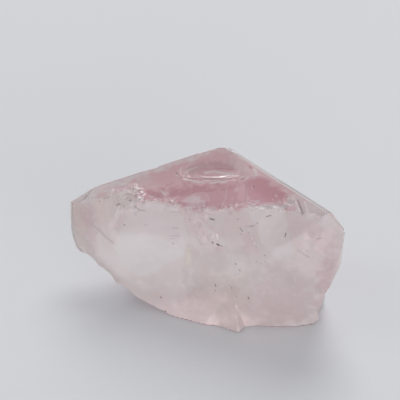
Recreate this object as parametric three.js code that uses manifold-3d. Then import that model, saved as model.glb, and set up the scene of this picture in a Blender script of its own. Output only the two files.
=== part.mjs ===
// Rough morganite, the pink variety of beryl: one broken piece of a large six-sided crystal.
//
// Millimetres, +Z up, +X along the length, -Y towards the broken front. The stone stands on a
// flat break at Z = 0, with the middle of its box at X = 0, Y = 0.
//
// It is made the way the real one came about. First the block: the flat faces the crystal grew,
// set out from its long axis by six-fold symmetry, and the rough planes it broke along. Then the
// scars: each flake that sprang off left a hollow shaped like part of a ball, which is shell-like
// fracture. Large scars are placed one by one, the small ones that cover the broken faces are
// spread evenly by a formula, and chips run along the broken edge of the top face.

import * as THREE from 'three';
import * as BufferGeometryUtils from 'three/addons/utils/BufferGeometryUtils.js';
import Module from 'manifold-3d';

const wasm = await Module();
wasm.setup();

// ---------------------------------------------------------------- driving dimensions

const STONE_COLOUR = 0xd6b4b8;
const STONE_ROUGHNESS = 0.25;

const FACET = 0.95;          // length of the little facets that a scar is made of
const RINGS = [3, 18];       // fewest and most rings of them on a ball
const SAW = 120;             // side of the block that cuts a flat face
const ONE_POINT = 1e-5;      // corners closer than this are one corner
const HEART = [0, 0, 10];    // a point well inside, from which the small scars are aimed
const GOLDEN = 0.6180339887; // the golden ratio's fraction, which spreads numbers evenly
const STRIDES = [0.7548776662, 0.569840291, 0.4142135624]; // three more that do not line up

// The long axis of the crystal leans to the left and to the front, so its end face dips there.
const C_AXIS = facing(-140.4, 68.4);
const FIRST_PRISM_FACE = facing(98.3, 11.6);
const PRISM_STEP = 60;       // degrees between prism faces
const RIGHT_BEVEL = 45;      // degrees that a bevel leans from the end face to the prism face
const LEFT_BEVEL = 20;

// Faces that grew: [name, outward normal, distance from the origin]
const BACK_LEFT = prismNormal(0);
const BACK_RIGHT = prismNormal(-1);
const LEFT = prismNormal(1);
const GROWN = [
  ['end face', C_AXIS, 18.9],
  ['back left prism face', BACK_LEFT, 13.1],
  ['back right prism face', BACK_RIGHT, 16.1],
  ['right bevel', between(C_AXIS, BACK_RIGHT, RIGHT_BEVEL), 24.05],
  ['left bevel', between(C_AXIS, LEFT, LEFT_BEVEL), 23.4],
];

// Planes that it broke along: [name, azimuth, elevation, distance from the origin]
const BROKEN = [
  ['front right', -83.5, -14.5, 8.65],
  ['upper front', -117.5, 13, 8.2],
  ['upper left', -121, 27, 12.15],
  ['lower left', -114.5, -10.5, 6.3],
  ['left shoulder', -130.5, 0.5, 10.35],
  ['left end', -166, 0, 19.6],
  ['left underside', 176.5, -59.5, 4.8],
  ['right shoulder', -8, 42, 29.75],
  ['right end', 10, 0, 18.55],
  ['right underside', -17.5, -19.5, 17.1],
  ['back left underside', 108, -44, 4.9],
  ['back right underside', 52, -38, 9.2],
];
const RESTING = ['resting face', 0, -90, 0];

// Large scars, each cut into one face: near = a point that is dropped onto the face, rim = half
// its width, narrow = its height over its width, spin = how far its long side turns on the face,
// turn = how far it looks away from the face's own direction in azimuth and elevation.
const SCARS = [
  // the two wide hollows of the front, and what lies between them
  { face: 'upper front', near: [8.6, -8.8, 17.4], rim: 6.3, depth: 1.8, turn: [6, 6] },
  { face: 'upper front', near: [-9.5, -1, 11], rim: 6.6, depth: 1, narrow: 0.85, spin: 30 },
  { face: 'upper front', near: [1.2, -6.2, 14], rim: 4.2, depth: 0.8, narrow: 0.6, spin: 65 },
  { face: 'upper front', near: [4.5, -8.7, 11], rim: 3.4, depth: 0.6, turn: [0, -6] },
  // below the right bevel
  { face: 'upper front', near: [12.8, -10.2, 23], rim: 2.6, depth: 1.1, turn: [22, 24] },
  { face: 'upper front', near: [15, -11.4, 22.7], rim: 2.7, depth: 1.1, turn: [22, 24] },
  { face: 'front right', near: [17.3, -12.8, 21.4], rim: 2.7, depth: 0.8, turn: [10, 15] },
  { face: 'front right', near: [18.7, -11.4, 17], rim: 3.2, depth: 0.6, narrow: 0.7, spin: 80 },
  { face: 'front right', near: [14.9, -12.2, 18.2], rim: 4.2, depth: 0.7, narrow: 0.6, spin: 65 },
  { face: 'front right', near: [16.5, -10.7, 13], rim: 3.6, depth: 0.5, narrow: 0.8 },
  // the notches at the left of the end face's broken edge
  { face: 'upper left', near: [-15.2, 3.2, 16.8], rim: 1.6, depth: 0.8, turn: [0, 30] },
  { face: 'upper left', near: [-13.3, 2.4, 17.5], rim: 2, depth: 1.1, turn: [10, 34] },
  { face: 'upper left', near: [-11.5, 1.6, 17.7], rim: 1.6, depth: 0.8, turn: [-10, 30] },
  // the rest of its left half
  { face: 'upper left', near: [-7.4, -1, 17.8], rim: 2.6, depth: 0.5, turn: [0, 22] },
  { face: 'upper left', near: [-3.5, -3, 18.4], rim: 2.6, depth: 0.4, turn: [0, 22] },
  // the lower front
  { face: 'lower left', near: [-6.7, -5, 5.4], rim: 5, depth: 0.6, narrow: 0.7, spin: 20 },
  { face: 'lower left', near: [-1.1, -7.5, 4.5], rim: 4.5, depth: 0.6 },
  { face: 'front right', near: [6.7, -9.8, 6], rim: 5.5, depth: 0.6, narrow: 0.8, turn: [0, 4] },
  { face: 'front right', near: [13.2, -9.2, 6.4], rim: 5.2, depth: 0.6 },
  { face: 'front right', near: [3.2, -10.9, 8.5], rim: 3, depth: 0.5 },
  // bites out of the left underside, which make its notched outline
  { face: 'left underside', near: [-18.6, 2.6, 5.5], rim: 2.4, depth: 0.7 },
  { face: 'left underside', near: [-16.3, 0.6, 4.1], rim: 2.6, depth: 0.8 },
  { face: 'left underside', near: [-12.4, -1.1, 2.1], rim: 2.8, depth: 0.7 },
  // the chip out of the end face, a long lens with a gutter along its front
  { face: 'end face', near: [0.9, 3.9, 21.6], rim: 5.8, depth: 0.4, narrow: 0.4, spin: 32 },
  { face: 'end face', near: [0.4, 2.2, 21.1], rim: 4.8, depth: 0.38, narrow: 0.12, spin: 31 },
];

// Small scars all over the broken planes
const SMALL = { tries: 230, rim: [1.4, 4], depth: [0.06, 0.13], narrow: [0.5, 1], tilt: 10 };

// Rows of chips along the broken edge of the end face, strewn a little to both sides of it
const CHIP_ROWS = [
  { face: 'upper left', from: [-9.8, 0.5, 17.7], to: [1.5, -5.2, 19.3], count: 10, turn: [0, 26] },
  { face: 'end face', from: [3.4, -6.4, 19.9], to: [12, -7.2, 22.3], count: 9, turn: [30, -25] },
];
const CHIP = { rim: [0.5, 1.4], depth: 0.3, narrow: 0.6, strew: 0.9 };

// The little toe that stands out at the foot of the front, a pebble with flat sides
const TOE = { at: [4.4, -8.1, 0.3], size: [1.8, 2.1, 1.4], sides: 14 };

// ---------------------------------------------------------------- directions

/** The unit vector that looks towards an azimuth (0 = +X, 90 = +Y) and an elevation, in degrees. */
function facing(azimuth, elevation) {
  const polar = THREE.MathUtils.degToRad(90 - elevation);
  const around = THREE.MathUtils.degToRad(azimuth);
  return new THREE.Vector3(
    Math.sin(polar) * Math.cos(around),
    Math.sin(polar) * Math.sin(around),
    Math.cos(polar),
  );
}

/** The normal of one of the six prism faces, which stand square to the long axis. */
function prismNormal(step) {
  const first = FIRST_PRISM_FACE.clone().projectOnPlane(C_AXIS).normalize();
  return first.applyAxisAngle(C_AXIS, THREE.MathUtils.degToRad(PRISM_STEP * step));
}

/** The direction that lies a number of degrees from one direction towards another. */
function between(from, towards, degrees) {
  const angle = THREE.MathUtils.degToRad(degrees);
  const square = towards.clone().projectOnPlane(from).normalize();
  return from.clone().multiplyScalar(Math.cos(angle)).addScaledVector(square, Math.sin(angle));
}

/** A direction turned by degrees of azimuth and of elevation. */
function turned(direction, [azimuth, elevation]) {
  const around = THREE.MathUtils.radToDeg(Math.atan2(direction.y, direction.x));
  const up = THREE.MathUtils.radToDeg(Math.asin(direction.z));
  return facing(around + azimuth, up + elevation);
}

/** The k-th term of an even spread of numbers from 0 to 1. */
function spread(k, stride) {
  return (k * stride) % 1;
}

/** The k-th of a number of directions that are spread evenly over a ball, in a spiral. */
function evenDirection(k, count) {
  const height = 1 - (2 * (k + 0.5)) / count;
  return facing(360 * spread(k, GOLDEN), THREE.MathUtils.radToDeg(Math.asin(height)));
}

// ---------------------------------------------------------------- solids

/** A closed three.js geometry as a manifold-3d solid. */
function solidOf(geometry) {
  const bare = geometry.index ? geometry.toNonIndexed() : geometry.clone();
  bare.deleteAttribute('normal');
  bare.deleteAttribute('uv');
  const merged = BufferGeometryUtils.mergeVertices(bare, ONE_POINT);
  return new wasm.Manifold(new wasm.Mesh({
    numProp: 3,
    vertProperties: new Float32Array(merged.attributes.position.array),
    triVerts: new Uint32Array(merged.index.array),
  }));
}

/** A manifold-3d solid as a three.js geometry. */
function geometryOf(solid) {
  const mesh = solid.getMesh();
  const geometry = new THREE.BufferGeometry();
  geometry.setAttribute('position', new THREE.BufferAttribute(mesh.vertProperties, 3));
  geometry.setIndex(new THREE.BufferAttribute(mesh.triVerts, 1));
  return geometry;
}

/** The block that removes everything beyond a plane. */
function saw({ normal, distance }) {
  const box = new THREE.BoxGeometry(SAW, SAW, SAW);
  box.translate(0, 0, distance + SAW / 2);
  box.applyQuaternion(new THREE.Quaternion().setFromUnitVectors(new THREE.Vector3(0, 0, 1), normal));
  return solidOf(box);
}

/** The ball that leaves one scar in a face, squashed to an egg where the scar is narrow. */
function flake({ face, near, rim, depth, narrow = 1, spin = 0, turn = [0, 0] }) {
  const { normal, distance } = FACES.get(face);
  const onFace = new THREE.Vector3(...near);
  onFace.addScaledVector(normal, distance - onFace.dot(normal));
  const look = turned(normal, turn);
  const radius = (rim * rim + depth * depth) / (2 * depth);
  const across = new THREE.Vector3(-look.y, look.x, 0).normalize();
  across.applyAxisAngle(look, THREE.MathUtils.degToRad(spin));
  const up = look.clone().cross(across);
  const rings = THREE.MathUtils.clamp(Math.round(radius / FACET), ...RINGS);
  const ball = new THREE.IcosahedronGeometry(radius, rings);
  ball.scale(1, narrow, 1);
  ball.applyMatrix4(new THREE.Matrix4().makeBasis(across, up, look));
  const centre = onFace.addScaledVector(look, radius - depth);
  ball.translate(centre.x, centre.y, centre.z);
  return solidOf(ball);
}

// ---------------------------------------------------------------- the stone

/** Every face of the block by its name, with its outward normal and its distance. */
const FACES = new Map([
  ...GROWN.map(([name, normal, distance]) => [name, { normal, distance }]),
  ...[...BROKEN, RESTING].map(([name, azimuth, elevation, distance]) => (
    [name, { normal: facing(azimuth, elevation), distance }])),
]);

/** The face that a straight line out of the heart leaves the block through, and where. */
function exitFrom(heart, direction) {
  let best = { reach: Infinity };
  for (const [name, { normal, distance }] of FACES) {
    const speed = normal.dot(direction);
    const reach = (distance - normal.dot(heart)) / speed;
    if (speed > 0 && reach < best.reach) best = { name, reach };
  }
  return { name: best.name, point: heart.clone().addScaledVector(direction, best.reach) };
}

/** The small scars: directions spread evenly over a ball, kept where they meet a broken plane. */
function smallScars() {
  const broken = new Set(BROKEN.map(([name]) => name));
  const heart = new THREE.Vector3(...HEART);
  const { lerp } = THREE.MathUtils;
  const scars = [];
  for (let k = 0; k < SMALL.tries; k += 1) {
    const { name, point } = exitFrom(heart, evenDirection(k, SMALL.tries));
    if (!broken.has(name)) continue;
    const [size, shape, lean] = STRIDES.map((stride) => spread(k, stride));
    const rim = lerp(SMALL.rim[0], SMALL.rim[1], size * size);
    scars.push({
      face: name,
      near: point.toArray(),
      rim,
      depth: rim * lerp(SMALL.depth[0], SMALL.depth[1], shape),
      narrow: lerp(SMALL.narrow[0], SMALL.narrow[1], lean),
      spin: 180 * size,
      turn: [SMALL.tilt * (2 * shape - 1), SMALL.tilt * (2 * lean - 1)],
    });
  }
  return scars;
}

/** A row of chips along the broken edge of the end face. */
function chipsOf({ face, from, to, count, turn }) {
  const start = new THREE.Vector3(...from);
  const end = new THREE.Vector3(...to);
  return Array.from({ length: count }, (_, k) => {
    const rim = THREE.MathUtils.lerp(CHIP.rim[0], CHIP.rim[1], spread(k + 1, GOLDEN));
    const near = start.clone().lerp(end, k / (count - 1));
    near.z += CHIP.strew * (spread(k + 1, STRIDES[0]) - 0.5);
    return { face, near: near.toArray(), rim, depth: rim * CHIP.depth, narrow: CHIP.narrow, turn };
  });
}

/** A pebble: a small block sawn off by sides that are spread evenly around it. */
function pebble({ at, size, sides }) {
  const across = 4 * Math.max(...size);
  let stone = solidOf(new THREE.BoxGeometry(across, across, across));
  for (let k = 0; k < sides; k += 1) {
    const normal = evenDirection(k, sides);
    const distance = normal.clone().multiply(new THREE.Vector3(...size)).length();
    stone = stone.subtract(saw({ normal, distance }));
  }
  return stone.translate(at);
}

/** The whole crystal, moved so that the middle of its box is at X = 0, Y = 0. */
function crystal() {
  let stone = solidOf(new THREE.BoxGeometry(SAW, SAW, SAW));
  for (const face of FACES.values()) stone = stone.subtract(saw(face));
  for (const scar of [...SCARS, ...smallScars(), ...CHIP_ROWS.flatMap(chipsOf)]) {
    stone = stone.subtract(flake(scar));
  }
  stone = stone.add(pebble(TOE)).subtract(saw(FACES.get('resting face')));
  const geometry = geometryOf(stone);
  geometry.computeBoundingBox();
  const middle = geometry.boundingBox.getCenter(new THREE.Vector3());
  geometry.translate(-middle.x, -middle.y, 0);
  return geometry;
}

const material = new THREE.MeshStandardMaterial({
  color: STONE_COLOUR, roughness: STONE_ROUGHNESS, metalness: 0, flatShading: true,
});
const mesh = new THREE.Mesh(crystal(), material);
mesh.name = 'crystal';

const object = new THREE.Group();
object.add(mesh);

export default object;
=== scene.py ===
"""Rough morganite, the pink variety of beryl: one broken piece of a large six-sided crystal.

Lengths are worked out in millimetres and put into Blender in metres. The stone is one closed
skin around its heart: along every direction out of the heart, the skin is where that straight
line first leaves the block of grown and broken planes or first enters one of the flakes that
sprang off it. That makes the skin a function of two parameters, the direction, so it is worked
out with whole arrays.
"""

from __future__ import annotations

import logging
import math
from dataclasses import dataclass, field, fields
from enum import Enum

import bpy
import numpy as np
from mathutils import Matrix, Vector

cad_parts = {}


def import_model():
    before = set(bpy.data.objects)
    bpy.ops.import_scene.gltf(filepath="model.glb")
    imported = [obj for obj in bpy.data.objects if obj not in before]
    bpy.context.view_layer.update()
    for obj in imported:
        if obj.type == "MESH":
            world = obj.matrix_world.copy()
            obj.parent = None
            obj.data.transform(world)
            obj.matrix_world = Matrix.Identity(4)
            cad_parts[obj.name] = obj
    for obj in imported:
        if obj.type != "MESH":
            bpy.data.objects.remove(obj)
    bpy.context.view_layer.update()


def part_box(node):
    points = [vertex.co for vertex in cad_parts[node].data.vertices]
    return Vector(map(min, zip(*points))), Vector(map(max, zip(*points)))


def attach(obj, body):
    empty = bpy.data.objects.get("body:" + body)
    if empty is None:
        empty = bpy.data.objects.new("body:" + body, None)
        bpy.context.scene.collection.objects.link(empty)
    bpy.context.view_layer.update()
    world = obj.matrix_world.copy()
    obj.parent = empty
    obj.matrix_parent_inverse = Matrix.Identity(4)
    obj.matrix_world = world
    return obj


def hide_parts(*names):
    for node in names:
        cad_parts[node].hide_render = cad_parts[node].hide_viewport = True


Array = np.ndarray
Pair = tuple[float, float]
Triple = tuple[float, float, float]
Span = tuple[float, float, float, float]
Colour = tuple[float, float, float, float]
Socket = bpy.types.NodeSocket

LOG = logging.getLogger("morganite")
METRES = 0.001               # one millimetre
FAR = 1e6                    # a reach that stands for no meeting at all
LEVEL = 1e-6                 # a line that nears a plane no faster than this never meets it
TINY = 1e-12                 # keeps a length apart from 0 where it is divided by
SAME = 1e6                   # grid points are one where they agree to one part in this many
GOLDEN = 0.6180339887        # the golden ratio's fraction, which spreads numbers evenly
STRIDES = (0.7548776662, 0.569840291, 0.4142135624)  # three more that do not line up
HALF_TURN = 180
SPOT_MARGIN = 1.1            # how much wider than its rim a hollow is looked for
BOUNCES = 32                 # how often light may bounce inside the clear stone

# what mixes the bits of three whole numbers and a seed into one
AXIS_PRIMES = np.array((73856093, 19349663, 83492791), np.uint32)
SEED_PRIME, SEED_START, MIXER = 7919, 17, np.uint32(1540483477)
SHIFTS, LAST_SHIFT = (np.uint32(13), np.uint32(15)), np.uint32(16)


# ------------------------------------------------------------------ directions and numbers


def facing(azimuth: Array | float, elevation: Array | float) -> Array:
    """Unit vectors by their bearing.

    Args:
        azimuth: Degrees around from +X towards +Y.
        elevation: Degrees up from the level.

    Returns:
        The unit vector, or one row for each pair of angles.
    """
    around, up = np.radians(azimuth), np.radians(elevation)
    return np.stack(
        [np.cos(up) * np.cos(around), np.cos(up) * np.sin(around), np.sin(up) + 0 * around], axis=-1
    )


def unit(vectors: Array) -> Array:
    """The vectors, each scaled to length 1."""
    return vectors / np.linalg.norm(vectors, axis=-1, keepdims=True)


def rotated(vector: Array, axis: Array, degrees: float) -> Array:
    """A vector turned about a unit axis, by Rodrigues' formula.

    Args:
        vector: What is turned.
        axis: The unit axis it is turned about.
        degrees: How far, right-handed.

    Returns:
        The turned vector.
    """
    c, s = math.cos(math.radians(degrees)), math.sin(math.radians(degrees))
    return vector * c + np.cross(axis, vector) * s + axis * (axis @ vector) * (1 - c)


def between(start: Array, towards: Array, degrees: float) -> Array:
    """The direction that lies a number of degrees from one direction towards another.

    Args:
        start: The unit direction at zero degrees.
        towards: Any direction that says which way to go.
        degrees: How far to go.

    Returns:
        The unit direction reached.
    """
    square = unit(towards - start * (start @ towards))
    return start * math.cos(math.radians(degrees)) + square * math.sin(math.radians(degrees))


def turned(direction: Array, azimuth: float, elevation: float) -> Array:
    """A unit direction turned by degrees of azimuth and of elevation."""
    around = math.degrees(math.atan2(direction[1], direction[0]))
    return facing(around + azimuth, math.degrees(math.asin(direction[2])) + elevation)


def spread(k: int, stride: float) -> float:
    """The k-th term of an even spread of numbers from 0 to 1."""
    return (k * stride) % 1


def lerp(low: float, high: float, share: Array | float) -> Array | float:
    """The number that lies a share of the way from low to high."""
    return low + (high - low) * share


def until(room: Array | float, speed: Array) -> Array:
    """How far straight lines go until they leave planes: room / speed.

    Args:
        room: How far off each plane is where the lines start.
        speed: Each line's direction times each plane's normal.

    Returns:
        The reaches, FAR where a line never meets the plane.
    """
    ahead = speed > LEVEL
    return np.where(ahead, room / np.where(ahead, speed, 1), FAR)


def rounding(gap: Array, width: float) -> Array:
    """How far a corner between two surfaces is rounded off, or a valley filled.

    It is (width - gap)^2 / 4 width, which leads smoothly over from one to the other.

    Args:
        gap: How far the two lie apart along a line.
        width: The gap from which on nothing is rounded.

    Returns:
        What to take off or to add along the line.
    """
    return np.maximum(width - gap, 0) ** 2 / (4 * width)


def even_direction(k: int, count: int) -> Array:
    """The k-th of a number of directions that are spread evenly over a ball, in a spiral."""
    height = 1 - (2 * (k + 0.5)) / count
    return facing(360 * spread(k, GOLDEN), math.degrees(math.asin(height)))


def smooth(low: float, high: float, values: Array) -> Array:
    """A soft step: 0 below low, 1 above high, and 3t^2 - 2t^3 between them."""
    t = np.clip((values - low) / (high - low), 0, 1)
    return t * t * (3 - 2 * t)


def lattice(cells: Array, seed: int) -> Array:
    """A number from -1 to 1 for every whole-number cell of space, the same each time.

    Args:
        cells: Whole numbers, one row of three for each cell.
        seed: Picks another set of numbers.

    Returns:
        One number per row, from mixing the bits of the three whole numbers.
    """
    whole = cells.astype(np.int64).astype(np.uint32) * AXIS_PRIMES
    mixed = np.bitwise_xor.reduce(whole, axis=-1) ^ np.uint32(seed * SEED_PRIME + SEED_START)
    for shift in SHIFTS:
        mixed = (mixed ^ (mixed >> shift)) * MIXER
    return (mixed ^ (mixed >> LAST_SHIFT)) / 2.0**31 - 1.0


def noise(points: Array, seed: int) -> Array:
    """Smooth noise from -1 to 1 with cells of size 1.

    The value at a point is the mean of the numbers at the eight corners of its cell, weighed by
    the quintic 6t^5 - 15t^4 + 10t^3 of how near each corner is along each axis.

    Args:
        points: One row of three for each point.
        seed: Picks another noise.

    Returns:
        One value per point.
    """
    cell = np.floor(points)
    part = points - cell
    weight = part**3 * (part * (part * 6 - 15) + 10)
    total = np.zeros(points.shape[:-1])
    for corner in np.ndindex(2, 2, 2):
        share = np.prod(np.where(np.array(corner) == 1, weight, 1 - weight), axis=-1)
        total += share * lattice(cell + np.array(corner), seed)
    return total


# ------------------------------------------------------------------ the block and its scars


class Skin(Enum):
    """How a part of the skin came about."""

    GROWN = 0
    BROKEN = 1
    RESTING = 2


@dataclass(frozen=True)
class Face:
    """One plane of the block: its outward normal and its distance from the origin in mm."""

    name: str
    normal: Array
    distance: float
    skin: Skin


@dataclass(frozen=True)
class Habit:
    """The flat faces that the crystal grew, set out from its long axis by six-fold symmetry.

    Attributes:
        long_axis: Azimuth and elevation of the long axis.
        first_prism_face: The same for the back left prism face, before it is squared up.
        prism_step: Degrees from one prism face's normal to the next.
        right_bevel: Degrees from the end face's normal to the right bevel's.
        left_bevel: The same for the left bevel.
        distances: How far the faces lie from the origin, in mm, in their order.
    """

    long_axis: Pair = (-140.4, 68.4)
    first_prism_face: Pair = (98.3, 11.6)
    prism_step: float = 60
    right_bevel: float = 45
    left_bevel: float = 20
    distances: tuple[float, ...] = (18.9, 13.1, 16.35, 24.15, 23.4)

    def axis(self) -> Array:
        """The crystal's long axis, which its end face looks along."""
        return facing(*self.long_axis)

    def prism_normal(self, step: int) -> Array:
        """The normal of one of the six prism faces, which stand square to the long axis."""
        axis, first = self.axis(), facing(*self.first_prism_face)
        return rotated(unit(first - axis * (axis @ first)), axis, self.prism_step * step)

    def faces(self) -> list[Face]:
        """The grown faces that this piece still has.

        Returns:
            The end face, the back left and right prism faces, the right and the left bevel.
        """
        axis, right, left = self.axis(), self.prism_normal(-1), self.prism_normal(1)
        normals = {
            "end face": axis,
            "back left prism face": self.prism_normal(0),
            "back right prism face": right,
            "right bevel": between(axis, right, self.right_bevel),
            "left bevel": between(axis, left, self.left_bevel),
        }
        return [
            Face(name, normal, distance, Skin.GROWN)
            for (name, normal), distance in zip(normals.items(), self.distances)
        ]


@dataclass(frozen=True)
class Scar:
    """The hollow that one flake left: part of a ball, or of an egg where it is narrow.

    Attributes:
        face: The face that it is cut into.
        near: A point in mm that is dropped onto that face, the middle of the scar.
        rim: Half its width.
        depth: How deep it goes.
        narrow: Its height over its width.
        spin: Degrees that its long side turns on the face.
        turn: Degrees that it looks away from the face's direction, in azimuth and elevation.
        ripple: Height of the waves that ring the point where it was struck.
    """

    face: str
    near: Triple
    rim: float
    depth: float
    narrow: float = 1
    spin: float = 0
    turn: Pair = (0, 0)
    ripple: float = 0


@dataclass(frozen=True)
class Hollow:
    """A scar's ball in space: p is inside it where the length of bend (p - centre) is under 1."""

    centre: Array
    bend: Array
    spot: Array              # the middle of its opening
    spot_radius: float       # how far around the spot it can be met
    ripple: float            # the height of its waves
    strike: Array            # where the blow fell

    @classmethod
    def under(cls, scar: Scar, normal: Array, distance: float) -> Hollow:
        """Works out the ball that leaves a scar in a plane.

        A ball whose cap is rim wide and depth deep has the radius (rim^2 + depth^2) / 2 depth.
        It looks along the turned normal, it is squashed across by narrow, and its middle lies
        radius - depth above the face.

        Args:
            scar: The scar.
            normal: The outward unit normal of the plane it is cut into.
            distance: That plane's distance from the origin.

        Returns:
            The ball.
        """
        on_face = np.array(scar.near, float)
        on_face += normal * (distance - on_face @ normal)
        look = turned(normal, *scar.turn)
        radius = (scar.rim**2 + scar.depth**2) / (2 * scar.depth)
        across = rotated(unit(np.array([-look[1], look[0], 0.0])), look, scar.spin)
        up = np.cross(look, across)
        centre = on_face + look * (radius - scar.depth)
        height = centre @ normal - distance
        cap = math.sqrt(max(radius**2 - height**2, scar.rim**2))
        return cls(
            centre=centre,
            bend=np.stack([across / radius, up / (radius * scar.narrow), look / radius]),
            spot=centre - normal * height,
            spot_radius=SPOT_MARGIN * max(cap, radius - height),
            ripple=scar.ripple,
            strike=on_face + up * scar.rim * scar.narrow,
        )


@dataclass(frozen=True)
class Breakage:
    """The rough planes that the crystal broke along, and the scars in them.

    Three sorts of scars are strewn by formula: small ones on all broken planes, rows of chips
    along the end face's broken edge, and tiny ones where the skin is crumbly or unseen. Their
    rims are in mm, their depths are shares of the rim, and tilts are in degrees.
    """

    planes: tuple[tuple[str, float, float, float], ...] = (
        # name, azimuth, elevation, distance from the origin
        ("front right", -83.5, -14.5, 8.65),
        ("upper front", -117.5, 13, 8.2),
        ("upper left", -121, 27, 12.15),
        ("lower left", -115, 4, 7.4),
        ("front underside", -135.2, -50.9, 4.65),
        ("left shoulder", -130.5, 0.5, 10.35),
        ("left end", -166, 0, 19.6),
        ("left underside", 176.5, -59.5, 4.8),
        ("right shoulder", -8, 42, 29.75),
        ("apex", 90, 61, 24.45),
        ("right end", 10, 0, 18.55),
        ("right underside", -17.5, -19.5, 17.1),
        ("back left underside", 108, -44, 4.9),
        ("back right underside", 52, -38, 9.2),
    )
    scars: tuple[Scar, ...] = (
        # the two wide hollows of the front, and what lies between them
        Scar("upper front", (8.6, -8.8, 17.4), 6.3, 0.45, turn=(3, 6), ripple=0.03),
        Scar("upper front", (-9.5, -1, 11), 6.6, 0.3, 0.85, 30, ripple=0.02),
        Scar("upper front", (1.2, -6.2, 14), 4.2, 0.35, 0.6, 65, ripple=0.03),
        Scar("upper front", (4.5, -8.7, 11), 3.4, 0.2, turn=(0, -6), ripple=0.02),
        # below the right bevel
        Scar("upper front", (12.8, -10.2, 23), 2.6, 0.6, turn=(16, 14)),
        Scar("upper front", (15, -11.4, 22.7), 2.7, 0.3, turn=(12, 9)),
        Scar("front right", (17.3, -12.8, 21.4), 2.7, 0.45, turn=(8, 10)),
        Scar("front right", (18.7, -11.4, 17), 3.2, 0.45, 0.7, 80, ripple=0.02),
        Scar("front right", (14.9, -12.2, 18.2), 4.2, 0.4, 0.6, 65, ripple=0.03),
        Scar("front right", (16.5, -10.7, 13), 3.6, 0.35, 0.8, ripple=0.02),
        # the notches at the left of the end face's broken edge
        Scar("upper left", (-15.2, 3.2, 16.8), 1.6, 0.8, turn=(0, 30)),
        Scar("upper left", (-13.3, 2.4, 17.5), 2, 1.1, turn=(10, 34)),
        Scar("upper left", (-11.5, 1.6, 17.7), 1.6, 0.8, turn=(-10, 30)),
        # the rest of its left half
        Scar("upper left", (-7.4, -1, 17.8), 2.6, 0.5, turn=(0, 22)),
        Scar("upper left", (-3.5, -3, 18.4), 2.6, 0.4, turn=(0, 22)),
        # the lower front
        Scar("lower left", (-6.7, -5, 5.4), 5, 0.3, 0.7, 20, ripple=0.02),
        Scar("lower left", (-1.1, -7.5, 4.5), 4.5, 0.25, ripple=0.02),
        Scar("front right", (6.7, -9.8, 6), 5.5, 0.3, 0.8, turn=(0, 4), ripple=0.02),
        Scar("front right", (13.2, -9.2, 6.4), 5.2, 0.3, ripple=0.02),
        Scar("front right", (3.2, -10.9, 8.5), 3, 0.2),
        # bites out of the left underside, which make its notched outline
        Scar("left underside", (-18.6, 2.6, 5.5), 2.4, 0.7),
        Scar("left underside", (-16.3, 0.6, 4.1), 2.6, 0.8),
        Scar("left underside", (-12.4, -1.1, 2.1), 2.8, 0.7),
        # the chip out of the end face, a long lens with a gutter along its front
        Scar("end face", (0.9, 3.9, 21.6), 5.8, 0.4, 0.4, 32, ripple=0.012),
        Scar("end face", (0.4, 2.2, 21.1), 4.8, 0.38, 0.12, 31),
    )
    worn: tuple[str, ...] = ("front right", "upper front", "upper left", "lower left")
    wear: float = 4          # mm between two of these planes where their edge starts to round
    small_tries: int = 210
    small_rim: Pair = (1.4, 4)
    small_depth: Pair = (0.035, 0.085)
    small_narrow: Pair = (0.5, 1)
    small_tilt: float = 10
    small_heart: Triple = (0, 0, 10)         # where their directions start
    chip_rows: tuple[tuple[str, Triple, Triple, int, Pair], ...] = (
        # along the broken edge of the end face: face, first, last, count, turn
        ("upper left", (-9.8, 0.5, 17.7), (1.5, -5.2, 19.3), 10, (0, 26)),
        ("end face", (3.4, -6.4, 19.9), (12, -7.2, 22.3), 9, (30, -25)),
    )
    chip_rim: Pair = (0.5, 1.4)
    chip_depth: float = 0.3
    chip_narrow: float = 0.6
    chip_strew: float = 0.9  # mm that they are strewn up and down
    tiny_tries: int = 9000
    tiny_rim: Pair = (0.2, 0.65)
    tiny_depth: Pair = (0.08, 0.2)
    tiny_narrow: Pair = (0.35, 1)
    tiny_tilt: float = 22
    tiny_skew: float = 2.2   # how much rarer the wide ones are
    tiny_stretch: Triple = (1.6, 1, 0.9)     # spreads their directions over the long stone
    tiny_share: Triple = (0, 0.8, 0.12)      # kept on the calm front, where crumbly, unseen
    tiny_seed: int = 5
    tiny_start: int = 7

    def faces(self) -> list[Face]:
        """The broken planes, and the flat break that the stone rests on."""
        rough = [Face(n, facing(a, e), d, Skin.BROKEN) for n, a, e, d in self.planes]
        return [*rough, Face("resting face", facing(0, -90), 0, Skin.RESTING)]

    def small_scars(self, faces: list[Face]) -> list[Scar]:
        """The small scars: directions spread evenly over a ball, kept on the broken planes.

        Args:
            faces: Every face of the block.

        Returns:
            The scars, whose size, depth and lean come from three even spreads of numbers.
        """
        heart = np.array(self.small_heart, float)
        normals = np.stack([face.normal for face in faces])
        room = np.array([face.distance for face in faces]) - normals @ heart
        made = []
        for k in range(self.small_tries):
            direction = even_direction(k, self.small_tries)
            reach = until(room, normals @ direction)
            face = faces[int(np.argmin(reach))]
            if face.skin is not Skin.BROKEN:
                continue
            size, shape, lean = (spread(k, stride) for stride in STRIDES)
            rim = lerp(*self.small_rim, size * size)
            made.append(Scar(
                face.name,
                tuple(heart + direction * reach.min()),
                rim,
                rim * lerp(*self.small_depth, shape),
                lerp(*self.small_narrow, lean),
                HALF_TURN * size,
                (self.small_tilt * (2 * shape - 1), self.small_tilt * (2 * lean - 1)),
            ))
        return made

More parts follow.
